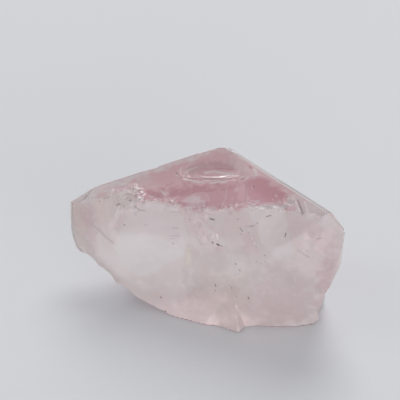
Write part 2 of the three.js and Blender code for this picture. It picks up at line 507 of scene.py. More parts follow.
    def chips(self) -> list[Scar]:
        """The rows of chips along the broken edge of the end face.

        Returns:
            The scars, spaced evenly in each row, with rims and heights from even spreads.
        """
        made = []
        for face, start, end, count, turn in self.chip_rows:
            for k in range(count):
                rim = lerp(*self.chip_rim, spread(k + 1, GOLDEN))
                near = lerp(np.array(start, float), np.array(end, float), k / (count - 1))
                near[2] += self.chip_strew * (spread(k + 1, STRIDES[0]) - 0.5)
                made.append(Scar(
                    face, tuple(near), rim, rim * self.chip_depth, self.chip_narrow, turn=turn
                ))
        return made


@dataclass(frozen=True)
class Foot:
    """A rounded swelling at the foot of the front, part of an egg that stands on the floor.

    Attributes:
        at: Its middle.
        size: Its half lengths.
    """

    at: Triple = (12, -6.1, 0)
    size: Triple = (5.8, 2.1, 5)

    def reach(self, heart: Array, directions: Array) -> Array:
        """How far each straight line out of the heart goes until it has left the egg.

        It leaves at the larger root t of |(heart + t direction - at) / size| = 1.

        Args:
            heart: Where the lines start.
            directions: One unit row for each line.

        Returns:
            The reach of each line, 0 where it misses the egg.
        """
        size = np.array(self.size)
        bent, offset = directions / size, (heart - np.array(self.at)) / size
        a, b, c = (bent**2).sum(axis=1), bent @ offset, offset @ offset - 1
        inner = b * b - a * c
        return np.where(inner > 0, (np.sqrt(np.maximum(inner, 0)) - b) / a, 0)


@dataclass(frozen=True)
class Toe:
    """Stone that is left in front of one broken plane, cut off by planes of its own.

    Attributes:
        before: The plane that it stands in front of.
        planes: Azimuth, elevation and distance from the origin of its own planes.
        wear: mm between its own planes where their edge starts to round off.
        rise: mm over which it rises softly out of the plane.
    """

    before: str = "front right"
    planes: tuple[Triple, ...] = ((-112.3, 6, 7.55), (-22, 12, 8.5))
    wear: float = 1.8
    rise: float = 0.35

    def height(self, heart: Array, directions: Array, bare: Array, others: Array) -> Array:
        """How far the toe stands out of its plane along straight lines out of the heart.

        It ends where its own planes or the stone's others end. With s the length that this
        leaves in front of the plane, its height is s^2 / (s + rise).

        Args:
            heart: Where the lines start.
            directions: One unit row for each line.
            bare: How far each line goes to the plane.
            others: How far each line goes to the nearest of the stone's other planes.

        Returns:
            The height along each line, 0 outside the toe.
        """
        normals = np.stack([facing(azimuth, elevation) for azimuth, elevation, _ in self.planes])
        room = np.array([distance for *_, distance in self.planes]) - normals @ heart
        own = np.sort(until(room, directions @ normals.T), axis=1)
        nearest = own[:, 0] - rounding(own[:, 1] - own[:, 0], self.wear)
        ahead = np.maximum(np.minimum(nearest, others) - bare, 0)
        return ahead**2 / (ahead + self.rise)


@dataclass(frozen=True)
class Relief:
    """The fine unevenness of the broken skin: three sizes of smooth noise, in mm.

    Attributes:
        sizes: How wide the bumps of each size are.
        heights: How high they are.
        calm_depth: Between which depths below the end face the unevenness sets in.
    """

    sizes: Triple = (3.0, 1.2, 0.5)
    heights: Triple = (0.08, 0.034, 0.008)
    calm_depth: Pair = (0.6, 1.8)

    def at(self, points: Array, depth: Array) -> Array:
        """How far the broken skin stands out at some points.

        Args:
            points: One row for each point.
            depth: How far each point lies below the end face, near which the skin is calm.

        Returns:
            The sum of the three sizes of noise, faded out towards the end face.
        """
        layers = zip(self.sizes, self.heights)
        rough = sum(high * noise(points / size, k) for k, (size, high) in enumerate(layers))
        return rough * smooth(*self.calm_depth, depth)


@dataclass(frozen=True)
class Waves:
    """The waves on a scar, in rings around the point where the blow fell.

    Attributes:
        pace: How closely they follow each other.
        stretch: The power of the distance that they go with. Below 1 they grow longer.
        bend: How far noise bends the rings, in mm.
        bend_size: How wide the bumps of that noise are.
        fade: Between which distances the waves set in.
        seed: Picks the noise.
    """

    pace: float = 7.5
    stretch: float = 0.85
    bend: float = 0.25
    bend_size: float = 1.7
    fade: Pair = (0.3, 2.5)
    seed: int = 40

    def at(self, points: Array, hollow: Hollow) -> Array:
        """How far the waves of a hollow stand out at some points.

        Args:
            points: One row for each point.
            hollow: The scar's ball.

        Returns:
            The ripple times the cosine of the bent distance, faded in from nothing.
        """
        away = np.linalg.norm(points - hollow.strike, axis=1)
        bent = np.maximum(away + self.bend * noise(points / self.bend_size, self.seed), 0)
        return hollow.ripple * np.cos(self.pace * bent**self.stretch) * smooth(*self.fade, away)


# ------------------------------------------------------------------ marks on the front


class Tone(Enum):
    """What a mark does to the skin."""

    BLOOM = "bloom"          # whitish, in places a painted sheen
    ROSE = "rose"            # deeper pink
    HONEY = "honey"          # faintly yellow
    SHADE = "shade"          # darker
    RIM = "rim"              # a bright line: crushed skin, partly a painted highlight
    CRUMBLE = "crumble"      # full of tiny scars
    CLEAR = "clear"          # broken as smooth as glass


@dataclass(frozen=True)
class FrontView:
    """A drawing of the front, on which the marks have their places.

    The sheet is 400 steps wide and high, and places on it are in steps right of and below its
    top left corner. It is drawn with the perspective of an eye that is away from its middle.

    Attributes:
        middle: The point in mm that the middle of the sheet shows.
        pitch: Degrees that the eye looks down.
        away: How far the eye is from the middle, in mm.
        step: One step, in mm, at the middle.
        half_sheet: Half the sheet, in steps.
    """

    middle: Triple = (-1.12, 4.5, 15.9)
    pitch: float = 29
    away: float = 300
    step: float = 0.16
    half_sheet: float = 200

    def towards(self) -> Array:
        """The direction from the stone to the eye."""
        return facing(-90, self.pitch)

    def places(self, points: Array) -> Array:
        """Where points show on the sheet.

        A point's distance along the view makes it larger or smaller, and its distances to the
        right of and above the middle give its place.

        Args:
            points: One row of three for each point, in mm.

        Returns:
            One row of two for each point, in steps.
        """
        towards = self.towards()
        right = np.array([1.0, 0, 0])
        offset = points - np.array(self.middle)
        scale = self.away / (self.away - offset @ towards) / self.step
        across, up = offset @ right, offset @ np.cross(towards, right)
        return np.stack([self.half_sheet + across * scale, self.half_sheet - up * scale], axis=-1)


def to_segment(places: Array, start: Array, end: Array) -> Array:
    """The distance of places from a straight line between two others."""
    along = end - start
    share = np.clip((places - start) @ along / max(along @ along, TINY), 0, 1)
    return np.linalg.norm(places - start - share[:, None] * along, axis=1)


def to_path(places: Array, path: Array) -> Array:
    """The distance of places from the nearest of a path's straight lines.

    Args:
        places: One row of two for each place.
        path: The path's corners.

    Returns:
        One distance for each place.
    """
    distance = np.full(len(places), FAR)
    for start, end in zip(path[:-1], path[1:]):
        distance = np.minimum(distance, to_segment(places, start, end))
    return distance


def inside(places: Array, outline: Array) -> Array:
    """How far places lie inside a closed outline, below 0 outside it.

    A place is inside where a line from it to the right crosses the outline an odd number of
    times, and its distance is that from the nearest side.

    Args:
        places: One row of two for each place.
        outline: The outline's corners.

    Returns:
        The distance inside.
    """
    closed = np.concatenate([outline, outline[:1]])
    odd = np.zeros(len(places), bool)
    for (ax, ay), (bx, by) in zip(closed[:-1], closed[1:]):
        spans = (ay > places[:, 1]) != (by > places[:, 1])
        crossing = ax + (places[:, 1] - ay) * (bx - ax) / ((by - ay) or TINY)
        odd ^= spans & (places[:, 0] < crossing)
    distance = to_path(places, closed)
    return np.where(odd, distance, -distance)


@dataclass(frozen=True)
class Patch:
    """A part of the front with a tone of its own.

    Attributes:
        tone: The tone.
        strength: How strong it is, up to 1.
        soft: How many steps it takes to fade at its edge.
        outline: Its corners, one row of two for each.
    """

    tone: Tone
    strength: float
    soft: float
    outline: Array

    @classmethod
    def rows(cls, tone: Tone, *rows: tuple[float, ...]) -> list[Patch]:
        """Patches of one tone, by rows of strength, soft, and the corners' places in turn."""
        return [cls(tone, *row[:2], np.reshape(row[2:], (-1, 2)).astype(float)) for row in rows]

    def at(self, places: Array, wobble: Array) -> Array:
        """The tone's strength at some places, with an edge that wobbles."""
        depth = inside(places, self.outline) + wobble * self.soft
        return self.strength * smooth(-self.soft, self.soft, depth)


@dataclass(frozen=True)
class Seam:
    """A fine line on the front, a ridge or a groove.

    Attributes:
        tone: Its tone.
        strength: How strong the tone is, up to 1.
        width: Its width in steps.
        height: How far it stands out in mm, below 0 for a groove.
        path: Its corners, one row of two for each.
        sway: How many steps the wobble moves it.
    """

    tone: Tone
    strength: float
    width: float
    height: float
    path: Array
    sway: float = 0.5

    @classmethod
    def rows(cls, tone: Tone, *rows: tuple[float, ...]) -> list[Seam]:
        """Seams of one tone, by rows of strength, width, height and the corners' places."""
        return [cls(tone, *row[:3], np.reshape(row[3:], (-1, 2)).astype(float)) for row in rows]

    def at(self, places: Array, wobble: Array) -> Array:
        """The line's share at some places: a bell over the distance from its path."""
        distance = to_path(places + self.sway * wobble[:, None], self.path)
        return np.exp(-((distance / self.width) ** 2))


@dataclass(frozen=True)
class FrontMarks:
    """Every mark on the front of the stone. Sizes and depths are in mm, sways in steps."""

    view: FrontView = FrontView()
    patches: tuple[Patch, ...] = (
        # a row is the patch's strength, how soft its edge is, and its corners in turn
        # the two bright hollows and the paler places around them
        *Patch.rows(Tone.BLOOM,
            (1, 1.6, 140, 204, 160, 204, 176, 207, 183, 216, 186, 228, 187, 240, 183, 256, 175,
             260, 165, 263, 148, 277, 135, 275, 122, 264, 114, 247, 119, 232, 127, 216),
            (1, 1.6, 248, 206, 266, 205, 283, 206, 287, 225, 289, 240, 294, 250, 288, 261, 274,
             258, 267, 251, 260, 238, 257, 225, 250, 218),
            (0.55, 2, 203, 211, 228, 210, 229, 217, 217, 230, 204, 221),
            (0.6, 2, 200, 222, 207, 226, 220, 238, 231, 246, 226, 250, 210, 240, 198, 229),
            (0.7, 3, 227, 254, 244, 256, 246, 271, 229, 272),
            (0.4, 6, 96, 240, 114, 244, 131, 271, 126, 282, 104, 262),
            (0.4, 3, 110, 190, 146, 200, 134, 226, 112, 240, 100, 215),
        ),
        # paler places on the end face: the apex, along the bevel, the left tip
        *Patch.rows(Tone.BLOOM,
            (0.35, 1.5, 214, 148, 228, 147, 233, 153, 218, 154),
            (0.7, 3, 287, 196, 296, 196, 312, 206, 306, 210, 290, 207),
            (0.3, 2.5, 228, 152, 240, 156, 262, 175, 254, 179, 240, 172, 230, 165),
            (0.6, 5, 78, 200, 100, 186, 128, 176, 130, 184, 100, 198),
            # a painted sheen of grazing light along the upper left outline, from the left tip to
            # the apex
            (0.9, 3, 74, 198, 100, 183, 130, 172, 160, 161, 190, 152, 216, 146, 222, 150, 196, 158,
             165, 168, 135, 180, 104, 192, 82, 203),
            (0.35, 5, 96, 196, 150, 172, 160, 184, 142, 190, 110, 198),
            (0.5, 2, 182, 201, 192, 195, 204, 198, 205, 209, 190, 209),
            (0.5, 3, 183, 209, 200, 212, 203, 240, 190, 246, 185, 225),
            (0.8, 4, 290, 200, 318, 204, 336, 220, 334, 232, 302, 222),
        ),
        # the glassy break that carries the end face on to its ragged edge
        *Patch.rows(Tone.CLEAR,
            (1, 0.8, 140, 186, 160, 180, 200, 178, 247, 176, 262, 170, 292, 193, 286, 202.5, 262,
             202, 246, 204, 236, 206.5, 222, 209, 205, 208.5, 190, 208, 178, 204.5, 168, 203, 160,
             202, 148, 200.5, 140, 198),
        ),
        # deeper pink
        *Patch.rows(Tone.ROSE,
            (0.8, 1.2, 143, 191, 150, 189, 160, 193, 165, 200, 143, 200),
            (1, 5, 162, 189, 200, 185, 236, 183, 238, 208, 186, 210),
            (1, 2, 247, 180, 258, 176, 288, 194, 281, 205, 248, 206),
            (0.5, 1.5, 237, 184, 247, 182, 248, 203, 238, 206),
            (0.35, 3, 184, 172, 196, 162, 220, 159, 236, 166, 232, 176, 200, 178),
            (0.3, 4, 320, 262, 338, 258, 330, 296, 316, 306),
            (0.25, 5, 76, 206, 92, 208, 100, 250, 90, 256, 78, 240),
            (0.6, 1.6, 225, 167, 233, 166, 235, 170, 227, 171),
            (0.25, 4, 238, 232, 254, 233, 259, 250, 246, 252),
            (0.12, 9, 248, 283, 300, 283, 312, 305, 300, 320, 255, 315),
            (0.2, 7, 305, 212, 332, 222, 334, 262, 312, 250),
        ),
        *Patch.rows(Tone.SHADE,
            (0.14, 5, 162, 191, 200, 186, 236, 184, 237, 207, 186, 208),
        ),
        # darker
        *Patch.rows(Tone.SHADE,
            (0.22, 2, 182, 175, 190, 165, 214, 161, 238, 166, 236, 171, 210, 168, 192, 176),
            (0.18, 7, 188, 246, 236, 246, 250, 264, 206, 278, 186, 268),
            (0.1, 5, 228, 158, 244, 162, 250, 176, 238, 176, 230, 170),
            (0.18, 5, 70, 203, 94, 205, 98, 232, 88, 250, 70, 236),
            (0.2, 3, 86, 248, 104, 262, 120, 281, 112, 282, 94, 266),
            (0.2, 2, 145, 192, 164, 194, 164, 200, 147, 199),
            (0.15, 3, 318, 214, 332, 216, 334, 230, 320, 230),
            (0.14, 5, 322, 250, 342, 246, 334, 286, 322, 290),
            (0.18, 6, 196, 298, 246, 296, 250, 320, 216, 326),
            (0.25, 3, 216, 318, 246, 316, 248, 336, 222, 336),
            (0.1, 6, 140, 256, 182, 262, 186, 280, 150, 292, 128, 276),
            (0.2, 9, 180, 268, 238, 278, 290, 262, 322, 284, 312, 322, 246, 330, 190, 306),
        ),
        # faintly yellow
        *Patch.rows(Tone.HONEY,
            (0.9, 2, 185, 246, 192, 250, 191, 268, 186, 266),
            (0.7, 3, 92, 204, 110, 192, 134, 192, 136, 214, 100, 225),
            (0.6, 2, 228, 254, 243, 256, 244, 272, 230, 272),
            (0.4, 7, 190, 262, 250, 275, 252, 320, 246, 333, 212, 325),
            (0.6, 3, 70, 205, 80, 202, 88, 250, 72, 245),
            (0.15, 3, 183, 172, 198, 164, 210, 167, 190, 177),
        ),
        # full of tiny scars
        *Patch.rows(Tone.CRUMBLE,
            (1, 4, 100, 202, 108, 194, 128, 188, 143, 188, 147, 200, 136, 210, 118, 213),
            (0.35, 6, 92, 206, 132, 208, 130, 224, 114, 236, 102, 226),
            (0.25, 4, 288, 203, 312, 206, 340, 226, 342, 256, 330, 280, 312, 262, 294, 246),
            (0.5, 3, 184, 208, 203, 209, 222, 246, 210, 250, 190, 230),
            (0.5, 2, 142, 193, 160, 199, 180, 203, 205, 205, 236, 204, 236, 210, 205, 212, 180,
             210, 160, 206, 142, 204),
            (0.4, 3, 310, 290, 327, 290, 320, 308, 311, 311),
        ),
    )
    seams: tuple[Seam, ...] = (
        # a row is the seam's strength, its width, its height, and its corners in turn
        # bright lines along the ragged edge of the end face
        *Seam.rows(Tone.RIM,
            (1, 1, 0.04, 100, 201, 104, 198, 107, 195.5),
            (1, 0.9, 0.03, 139, 198, 146, 201, 152, 202, 160, 203),
            (0.8, 0.7, 0.02, 161, 191, 167, 196, 172, 201, 178, 205.5),
            (0.6, 0.6, 0.02, 166, 192, 171, 196, 176, 201),
            (0.6, 0.8, 0.02, 178, 205.5, 184, 208, 190, 207, 196, 209.5, 205, 209, 213, 210.5, 222,
             209.5),
            (0.5, 0.7, 0.02, 222, 209.5, 230, 209, 237, 206, 244, 204),
            (0.8, 0.8, 0.02, 247, 202, 253, 204, 258, 202.5, 263, 204, 268, 203, 276, 204, 285,
             202.5),
            (0.6, 0.6, 0.02, 248, 200, 255, 201.5, 261, 200.5),
            (0.9, 0.7, 0.02, 275.5, 195, 278, 199, 280, 201.5),
            (0.7, 0.6, 0.02, 272, 199, 277, 201.5),
            (1, 0.9, 0.02, 252.5, 168, 256, 171, 255.5, 175, 259, 175),
            (0.8, 0.6, 0.02, 284, 190, 290, 194, 292, 199, 288, 202),
        ),
        # the lips of the chip out of the end face, and the ripples inside it
        *Seam.rows(Tone.RIM,
            (0.5, 0.6, 0.01, 177, 172, 183, 167.5, 191, 163.5, 203, 158),
            (0.6, 0.6, 0.02, 183, 178, 184, 173, 190, 169, 197, 167),
            (0.6, 0.7, 0.01, 177, 172, 176.5, 175, 180, 178),
            # the lower lip, whitened as a painted highlight
            (1, 0.9, 0.03, 181, 178, 187, 180, 194, 181.7, 203, 182.8, 213, 183, 224, 182, 231,
             180.5),
            (0.9, 0.8, 0.03, 235, 181, 240, 182.5, 244, 181.5, 248, 177),
            (0.8, 0.6, 0.02, 233, 177, 237, 175.5, 241, 177.5, 245, 176),
        ),
        # pale lines on the ripples, partly a painted reflection
        *Seam.rows(Tone.BLOOM,
            (0.7, 0.6, 0.02, 198, 179, 206, 180.3, 216, 180.3, 229, 178.5),
            (0.6, 0.6, 0.02, 200, 176.3, 208, 177.6, 220, 177.6, 232, 175.8),
            (0.8, 1.2, 0.01, 205, 173, 214, 171.5, 224, 173.5, 233, 174),
        ),
        *Seam.rows(Tone.ROSE,
            (0.8, 1, -0.02, 200, 169, 210, 169.5, 221, 169, 232, 170),
        ),
        # lines in the end face
        *Seam.rows(Tone.SHADE,
            (0.3, 0.8, -0.02, 245.8, 182, 245.4, 203),
            (0.3, 1.5, 0, 216, 193, 220, 196),
            (0.5, 0.7, -0.02, 82.7, 200, 87, 196, 91, 190),
            (0.5, 0.8, 0, 72.5, 204, 72.5, 226, 76, 244, 84, 254),
        ),
        *Seam.rows(Tone.RIM,
            (0.25, 0.8, 0.01, 190, 207, 193, 200, 198, 197.5, 199, 202),
        ),
        *Seam.rows(Tone.BLOOM,
            (0.3, 0.9, 0.01, 196, 194, 203, 193, 208, 196, 209, 201),
            (0.25, 0.9, 0.01, 226, 188, 226, 198, 222, 206),
        ),
        # the inner edge of the bevel
        *Seam.rows(Tone.RIM,
            (0.3, 0.6, 0.01, 240, 158, 262, 174, 289, 191, 309.5, 204, 336, 221),
        ),
        *Seam.rows(Tone.SHADE,
            (0.6, 0.7, 0, 229, 150.2, 250, 162.7, 270, 175.2, 290, 187.2, 310, 199.2, 330, 213),
        ),
        # grooves and ridges in the front
        *Seam.rows(Tone.SHADE,
            (0.35, 1.1, -0.05, 91, 224, 99, 230, 106, 237, 113, 243),
            (0.4, 0.6, -0.04, 202, 210, 206, 212.5, 210, 214),
            (0.4, 0.6, -0.04, 246, 226.5, 250, 226.5, 255, 225),
            (0.7, 1.5, -0.08, 297.5, 201.5, 300, 207, 302.5, 213.5),
            (0.3, 0.8, -0.04, 298, 250, 305, 255, 309, 257),
            # painted shade over the toe's bright edge, flat, no groove
            (0.25, 2.4, 0, 238, 312, 239, 320, 241, 330),
        ),
        *Seam.rows(Tone.BLOOM,
            (0.9, 2, 0.05, 200.5, 220, 209.5, 231, 218, 237, 226, 242.5),
            (0.9, 0.9, 0.02, 278, 324.5, 292, 324.2, 306, 322.5),
        ),
        *Seam.rows(Tone.ROSE,
            (0.7, 0.7, -0.04, 199.5, 217, 204, 224, 211, 230),
        ),
        *Seam.rows(Tone.RIM,
            (0.6, 0.7, 0.04, 249.5, 231.5, 252, 240, 256.5, 247),
            (0.5, 0.6, 0.03, 256, 261, 262, 262.5, 268, 262),
            (0.4, 0.6, 0.03, 262, 256, 268, 254, 272, 254),
            (0.5, 0.6, 0.03, 288, 212, 292, 210.5, 296, 212),
            (0.5, 0.6, 0.03, 321, 289.5, 325, 291, 328, 293),
            (0.4, 0.7, 0.03, 190, 273, 194, 276, 198, 275),
            (0.6, 1, 0.05, 304, 201, 305, 207, 307, 213),
            (0.6, 0.6, 0.03, 329, 258.5, 335, 258, 341, 258),
            (0.3, 0.8, 0.02, 288, 282, 300, 283),
            (0.6, 0.8, 0.02, 235.5, 276.8, 239, 275, 242, 274),
        ),
    )
    specks: tuple[tuple[float, ...], ...] = (
        # where each dark speck starts and ends, its width in steps, how dark it is
        (117.5, 205, 119.5, 204, 1.3, 0.5), (123.6, 206.8, 124.4, 206, 0.6, 0.7),
        (129.6, 201, 130.4, 200, 0.6, 0.6), (133, 190.5, 134, 189.5, 0.5, 0.6),
        (139, 190.5, 140, 190, 0.5, 0.6), (135.5, 195.5, 136.5, 194.5, 0.6, 0.6),
        (135, 206.5, 139, 209.5, 0.5, 0.5), (139, 209.5, 145, 211, 0.4, 0.5),
        (124, 225, 124.6, 224.6, 0.7, 0.6), (144, 225, 148, 224.3, 0.4, 0.3),
        (170, 212, 180, 212, 0.4, 0.25), (173, 228.3, 178, 228, 0.5, 0.3),
        (170, 236.2, 180, 236, 0.5, 0.25), (170, 238.5, 179, 238.3, 0.4, 0.2),
        (172.5, 243, 173, 243.6, 0.6, 0.5), (189, 219, 189.6, 219.5, 0.5, 0.5),
        (210, 218.6, 214.2, 219.6, 0.6, 0.8), (212.3, 242, 213, 243, 0.6, 0.9),
        (216.8, 244, 219.2, 245.4, 0.8, 1), (221, 246, 222.5, 246.5, 0.5, 0.7),
        (215, 284.5, 215.3, 286, 0.6, 0.7), (214.8, 290, 215, 291, 0.6, 0.7),
        (238, 219, 238.5, 219.5, 0.5, 0.6), (239.8, 228, 240.4, 228.8, 0.6, 0.7),
        (241.3, 230, 242, 230.8, 0.6, 0.7), (240.8, 233.2, 241, 234, 0.5, 0.5),
        (250.3, 226.8, 253.5, 226.4, 0.4, 0.5), (257.3, 223, 257.8, 223.6, 0.5, 0.7),
        (267, 217.3, 271, 215.6, 0.6, 0.7), (285.8, 233.2, 285.2, 237, 0.6, 1),
        (285, 207, 285.2, 208.5, 0.5, 0.5), (235, 263.5, 235.6, 264, 0.7, 0.7),
        (239.8, 270.3, 240.3, 271.3, 0.6, 0.6), (231, 287, 231.2, 288, 0.5, 0.6),
        (236.8, 296.4, 237.2, 297, 0.5, 0.5), (248.5, 297.6, 248.9, 299, 0.6, 0.9),
        (317, 238.8, 321.5, 237.6, 0.5, 0.4), (160, 296.5, 160.6, 297.2, 0.6, 0.7),
        (165, 310.8, 165.6, 311.4, 0.6, 0.7), (252.8, 186.4, 253.4, 188, 0.6, 0.7),
        (84.5, 198, 86.5, 196.2, 0.6, 0.4), (341, 224.5, 342, 226, 0.5, 0.8),
        (176, 173, 177, 174, 0.5, 0.6), (241, 179, 243, 178.5, 0.6, 0.5),
        (249, 166, 251, 168, 0.8, 0.4), (286, 198, 287, 196, 0.6, 0.5),
    )
    speck_depth: float = 0.06
    speck_sway: float = 0.6          # how far the wobble moves them
    line_breaks: Pair = (-0.5, 0.2)  # values of a noise between which a bright line sets in
    break_size: float = 0.7          # size of that noise's bumps
    wobble_sizes: Pair = (0.9, 0.4)  # the same for the two noises of the wobble
    seeds: tuple[int, int, int] = (21, 22, 23)  # the wobble's two and that of the breaks

    def wobble(self, points: Array) -> Array:
        """What moves the edges of marks: one noise, and half as much of a finer one."""
        wide, narrow = self.wobble_sizes
        return noise(points / wide, self.seeds[0]) + 0.5 * noise(points / narrow, self.seeds[1])

    def strength(self, tone: Tone, points: Array) -> Array:
        """How strong a tone is at some points, the strongest mark counting.

        Args:
            tone: The tone.
            points: One row for each point, in mm.

        Returns:
            The strength, from 0 to 1.
        """
        places, wobble = self.view.places(points), self.wobble(points)
        whole = 1.0
        if tone is Tone.RIM:
            whole = smooth(*self.line_breaks, noise(points / self.break_size, self.seeds[2]))
        marks = [m.at(places, wobble) for m in self.patches if m.tone is tone]
        marks += [m.strength * m.at(places, wobble) * whole for m in self.seams if m.tone is tone]
        return np.max(marks, axis=0) if marks else np.zeros(len(points))

    def speckled(self, points: Array) -> Array:
        """The share of the dark specks at some points: a steep bell around each.

        Args:
            points: One row for each point, in mm.

        Returns:
            The share, from 0 to 1.
        """
        places = self.view.places(points) + self.speck_sway * self.wobble(points)[:, None]
        share = np.zeros(len(points))
        for *ends, width, dark in self.specks:
            away = to_segment(places, *np.array(ends).reshape(2, 2))
            share = np.maximum(share, dark * np.exp(-((away / width) ** 4)))
        return share

    def height(self, points: Array) -> Array:
        """How far the seams and the specks lift or sink the skin at some points, in mm."""
        places, wobble = self.view.places(points), self.wobble(points)
        lifted = sum(seam.height * seam.at(places, wobble) for seam in self.seams)
        return lifted - self.speck_depth * self.speckled(points)

    def near(self, points: Array, reach: float) -> Array:
        """True for points that lie within a reach, in steps, of a seam or a speck.

        Args:
            points: One row for each point, in mm.
            reach: The reach.

        Returns:
            True or false for each point.
        """
        places = self.view.places(points)
        found = np.zeros(len(points), bool)
        for seam in self.seams:
            found |= to_path(places, seam.path) < reach + seam.width
        for *ends, width, _ in self.specks:
            found |= to_segment(places, *np.array(ends).reshape(2, 2)) < reach + width
        return found


@dataclass
class Survey:
    """What straight lines out of the heart meet.

    Attributes:
        reach: How far each line goes to the skin.
        first: The number of the surface that it meets there.
        second: The number of the next nearest surface.
        second_reach: How far the line goes to that one.
        swell: What the relief adds where the skin is broken.
    """

    reach: Array
    first: Array
    second: Array
    second_reach: Array
    swell: Array

    def joined(self, other: Survey) -> Survey:
        """This survey with another one's lines after its own."""
        return Survey(*(np.concatenate([getattr(self, each.name), getattr(other, each.name)])
                        for each in fields(self)))


@dataclass
class Stone:
    """The whole stone as a closed skin around its heart. Lengths are in mm."""

    habit: Habit = Habit()
    breakage: Breakage = Breakage()
    foot: Foot = Foot()
    blend: float = 0.7       # the gap from which on no soft valley lies between foot and rest
    toe: Toe = Toe()
    relief: Relief = Relief()
    waves: Waves = Waves()
    marks: FrontMarks = FrontMarks()
    heart: Triple = (5, 6.5, 7.5)  # sees the whole skin
    farthest: float = 60     # no skin lies farther than this from the heart

    def __post_init__(self) -> None:
        """Sets out the block and cuts the scars into it, the tiny ones into what is left."""
        self.middle = np.array(self.heart, float)
        self.faces = self.habit.faces() + self.breakage.faces()
        self.normals = np.stack([face.normal for face in self.faces])
        self.room = np.array([f.distance for f in self.faces]) - self.normals @ self.middle
        self.skins = [face.skin for face in self.faces]
        by_name = {face.name: face for face in self.faces}
        scars = [
            *self.breakage.scars, *self.breakage.small_scars(self.faces), *self.breakage.chips()
        ]
        self.hollows = [
            Hollow.under(s, by_name[s.face].normal, by_name[s.face].distance) for s in scars
        ]
        self.lens = [len(self.faces) + k for k, scar in enumerate(self.breakage.scars)
                     if scar.face == self.faces[0].name]
        self.gather()
        self.hollows += self.tiny_hollows()
        self.gather()

    @property
    def foot_label(self) -> int:
        """The number that stands for foot and toe, after those of the faces and the hollows."""
        return len(self.faces) + len(self.hollows)

    @property
    def resting_label(self) -> int:
        """The number of the resting face, the last of the faces."""
        return len(self.faces) - 1

    @property
    def bevels(self) -> list[int]:
        """The numbers of the two bevels."""
        return [k for k, face in enumerate(self.faces) if face.name.endswith("bevel")]

    def gather(self) -> None:
        """Puts what every hollow is into arrays, one row for each, for meeting them by number."""
        self.bends = np.stack([hollow.bend for hollow in self.hollows])
        self.centres = np.stack([hollow.centre for hollow in self.hollows])
        self.offsets = np.einsum("kij,kj->ki", self.bends, self.middle - self.centres)

    def tiny_hollows(self) -> list[Hollow]:
        """The tiny scars, spread evenly and cut square to the skin that the others left.

        Returns:
            Their balls. How likely one is kept goes with how crumbly the skin is there.
        """
        made = self.breakage
        tries = np.stack([even_direction(k, made.tiny_tries) for k in range(made.tiny_tries)])
        tries = unit(tries * np.array(made.tiny_stretch))
        survey = self.survey(tries)
        points = self.middle + tries * survey.reach[:, None]
        normals = self.normals_at(survey.first, points)
        crumbly = self.marks.strength(Tone.CRUMBLE, points)
        calm, busy, unseen = made.tiny_share
        share = np.where(normals @ self.marks.view.towards() > 0, lerp(calm, busy, crumbly), unseen)
        cells = np.arange(3 * len(tries)).reshape(-1, 3)
        chance = 0.5 + 0.5 * lattice(cells, made.tiny_seed)
        kept = self.is_broken(survey.first) & (survey.first < self.foot_label) & (chance < share)
        hollows = []
        for k in np.flatnonzero(kept):
            size, shape, lean = (spread(int(k) + made.tiny_start, stride) for stride in STRIDES)
            rim = lerp(*made.tiny_rim, size**made.tiny_skew)
            turn = (made.tiny_tilt * (2 * shape - 1), made.tiny_tilt * (2 * lean - 1))
            scar = Scar(
                "", tuple(points[k]), rim, rim * lerp(*made.tiny_depth, lean),
                lerp(*made.tiny_narrow, shape), HALF_TURN * spread(int(k), GOLDEN), turn,
            )
            hollows.append(Hollow.under(scar, normals[k], float(points[k] @ normals[k])))
        return hollows

    def is_broken(self, labels: Array) -> Array:
        """True for labels of broken planes and of hollows, False for grown and resting faces."""
        rough = np.array([skin is Skin.BROKEN for skin in self.skins] + [True])
        return rough[np.minimum(labels, len(self.faces))]

    def normals_at(self, labels: Array, points: Array) -> Array:
        """The outward normal of each point's own surface.

        Args:
            labels: The number of each point's surface, faces first and then hollows.
            points: One row for each point.

        Returns:
            A face's normal, or the direction from the point into its hollow's ball.
        """
        count = len(self.faces)
        hollow = np.clip(labels - count, 0, len(self.hollows) - 1)
        inner = np.einsum("kij,kj->ki", self.bends[hollow], points - self.centres[hollow])
        outward = -np.einsum("kji,kj->ki", self.bends[hollow], inner)
        return np.where((labels < count)[:, None], self.normals[np.minimum(labels, count - 1)],
                        unit(outward))

    def survey(self, directions: Array) -> Survey:
        """Meets every surface along straight lines out of the heart.

        A plane is left at room / speed, and the edge between two worn planes is rounded off. A
        ball is entered at the smaller root t of |offset + t bend direction| = 1. The nearest
        two meetings are kept for each line, and the relief is added where the skin is broken.
        Then the foot is joined on with a soft valley, the toe's height is added, and both end
        at the floor.

        Args:
            directions: One unit row for each line.

        Returns:
            What they meet.
        """
        lines = np.arange(len(directions))
        rough, flat = Nearest(len(lines)), Nearest(len(lines))
        reaches = until(self.room, directions @ self.normals.T)
        worn = [face.name in self.breakage.worn for face in self.faces]
        nearest = np.sort(reaches[:, worn], axis=1)
        reaches[:, worn] -= rounding(nearest[:, 1] - nearest[:, 0], self.breakage.wear)[:, None]
        before = np.array([face.name == self.toe.before for face in self.faces])
        toe = self.toe.height(
            self.middle, directions, reaches[:, before][:, 0], reaches[:, ~before].min(axis=1)
        )
        for k, skin in enumerate(self.skins):
            (rough if skin is Skin.BROKEN else flat).offer(lines, reaches[:, k], k)
        self.enter_hollows(directions, rough)
        swell = self.swell(directions, rough.reach)
        rough.reach += swell
        rough.second_reach += swell
        both = rough.merged(flat)
        floor = until(self.middle[2], -directions[:, 2])
        foot = self.foot.reach(self.middle, directions) + swell
        valley = rounding(np.abs(foot - both.reach), self.blend)
        swollen = np.minimum(np.maximum(foot, both.reach) + valley + toe, floor)
        on_foot = swollen > both.reach
        label = np.where(swollen >= floor, self.resting_label, self.foot_label)
        return Survey(
            reach=np.where(on_foot, swollen, both.reach),
            first=np.where(on_foot, label, both.first),
            second=np.where(on_foot, self.foot_label, both.second),
            second_reach=np.where(on_foot, FAR, both.second_reach),
            swell=swell,
        )

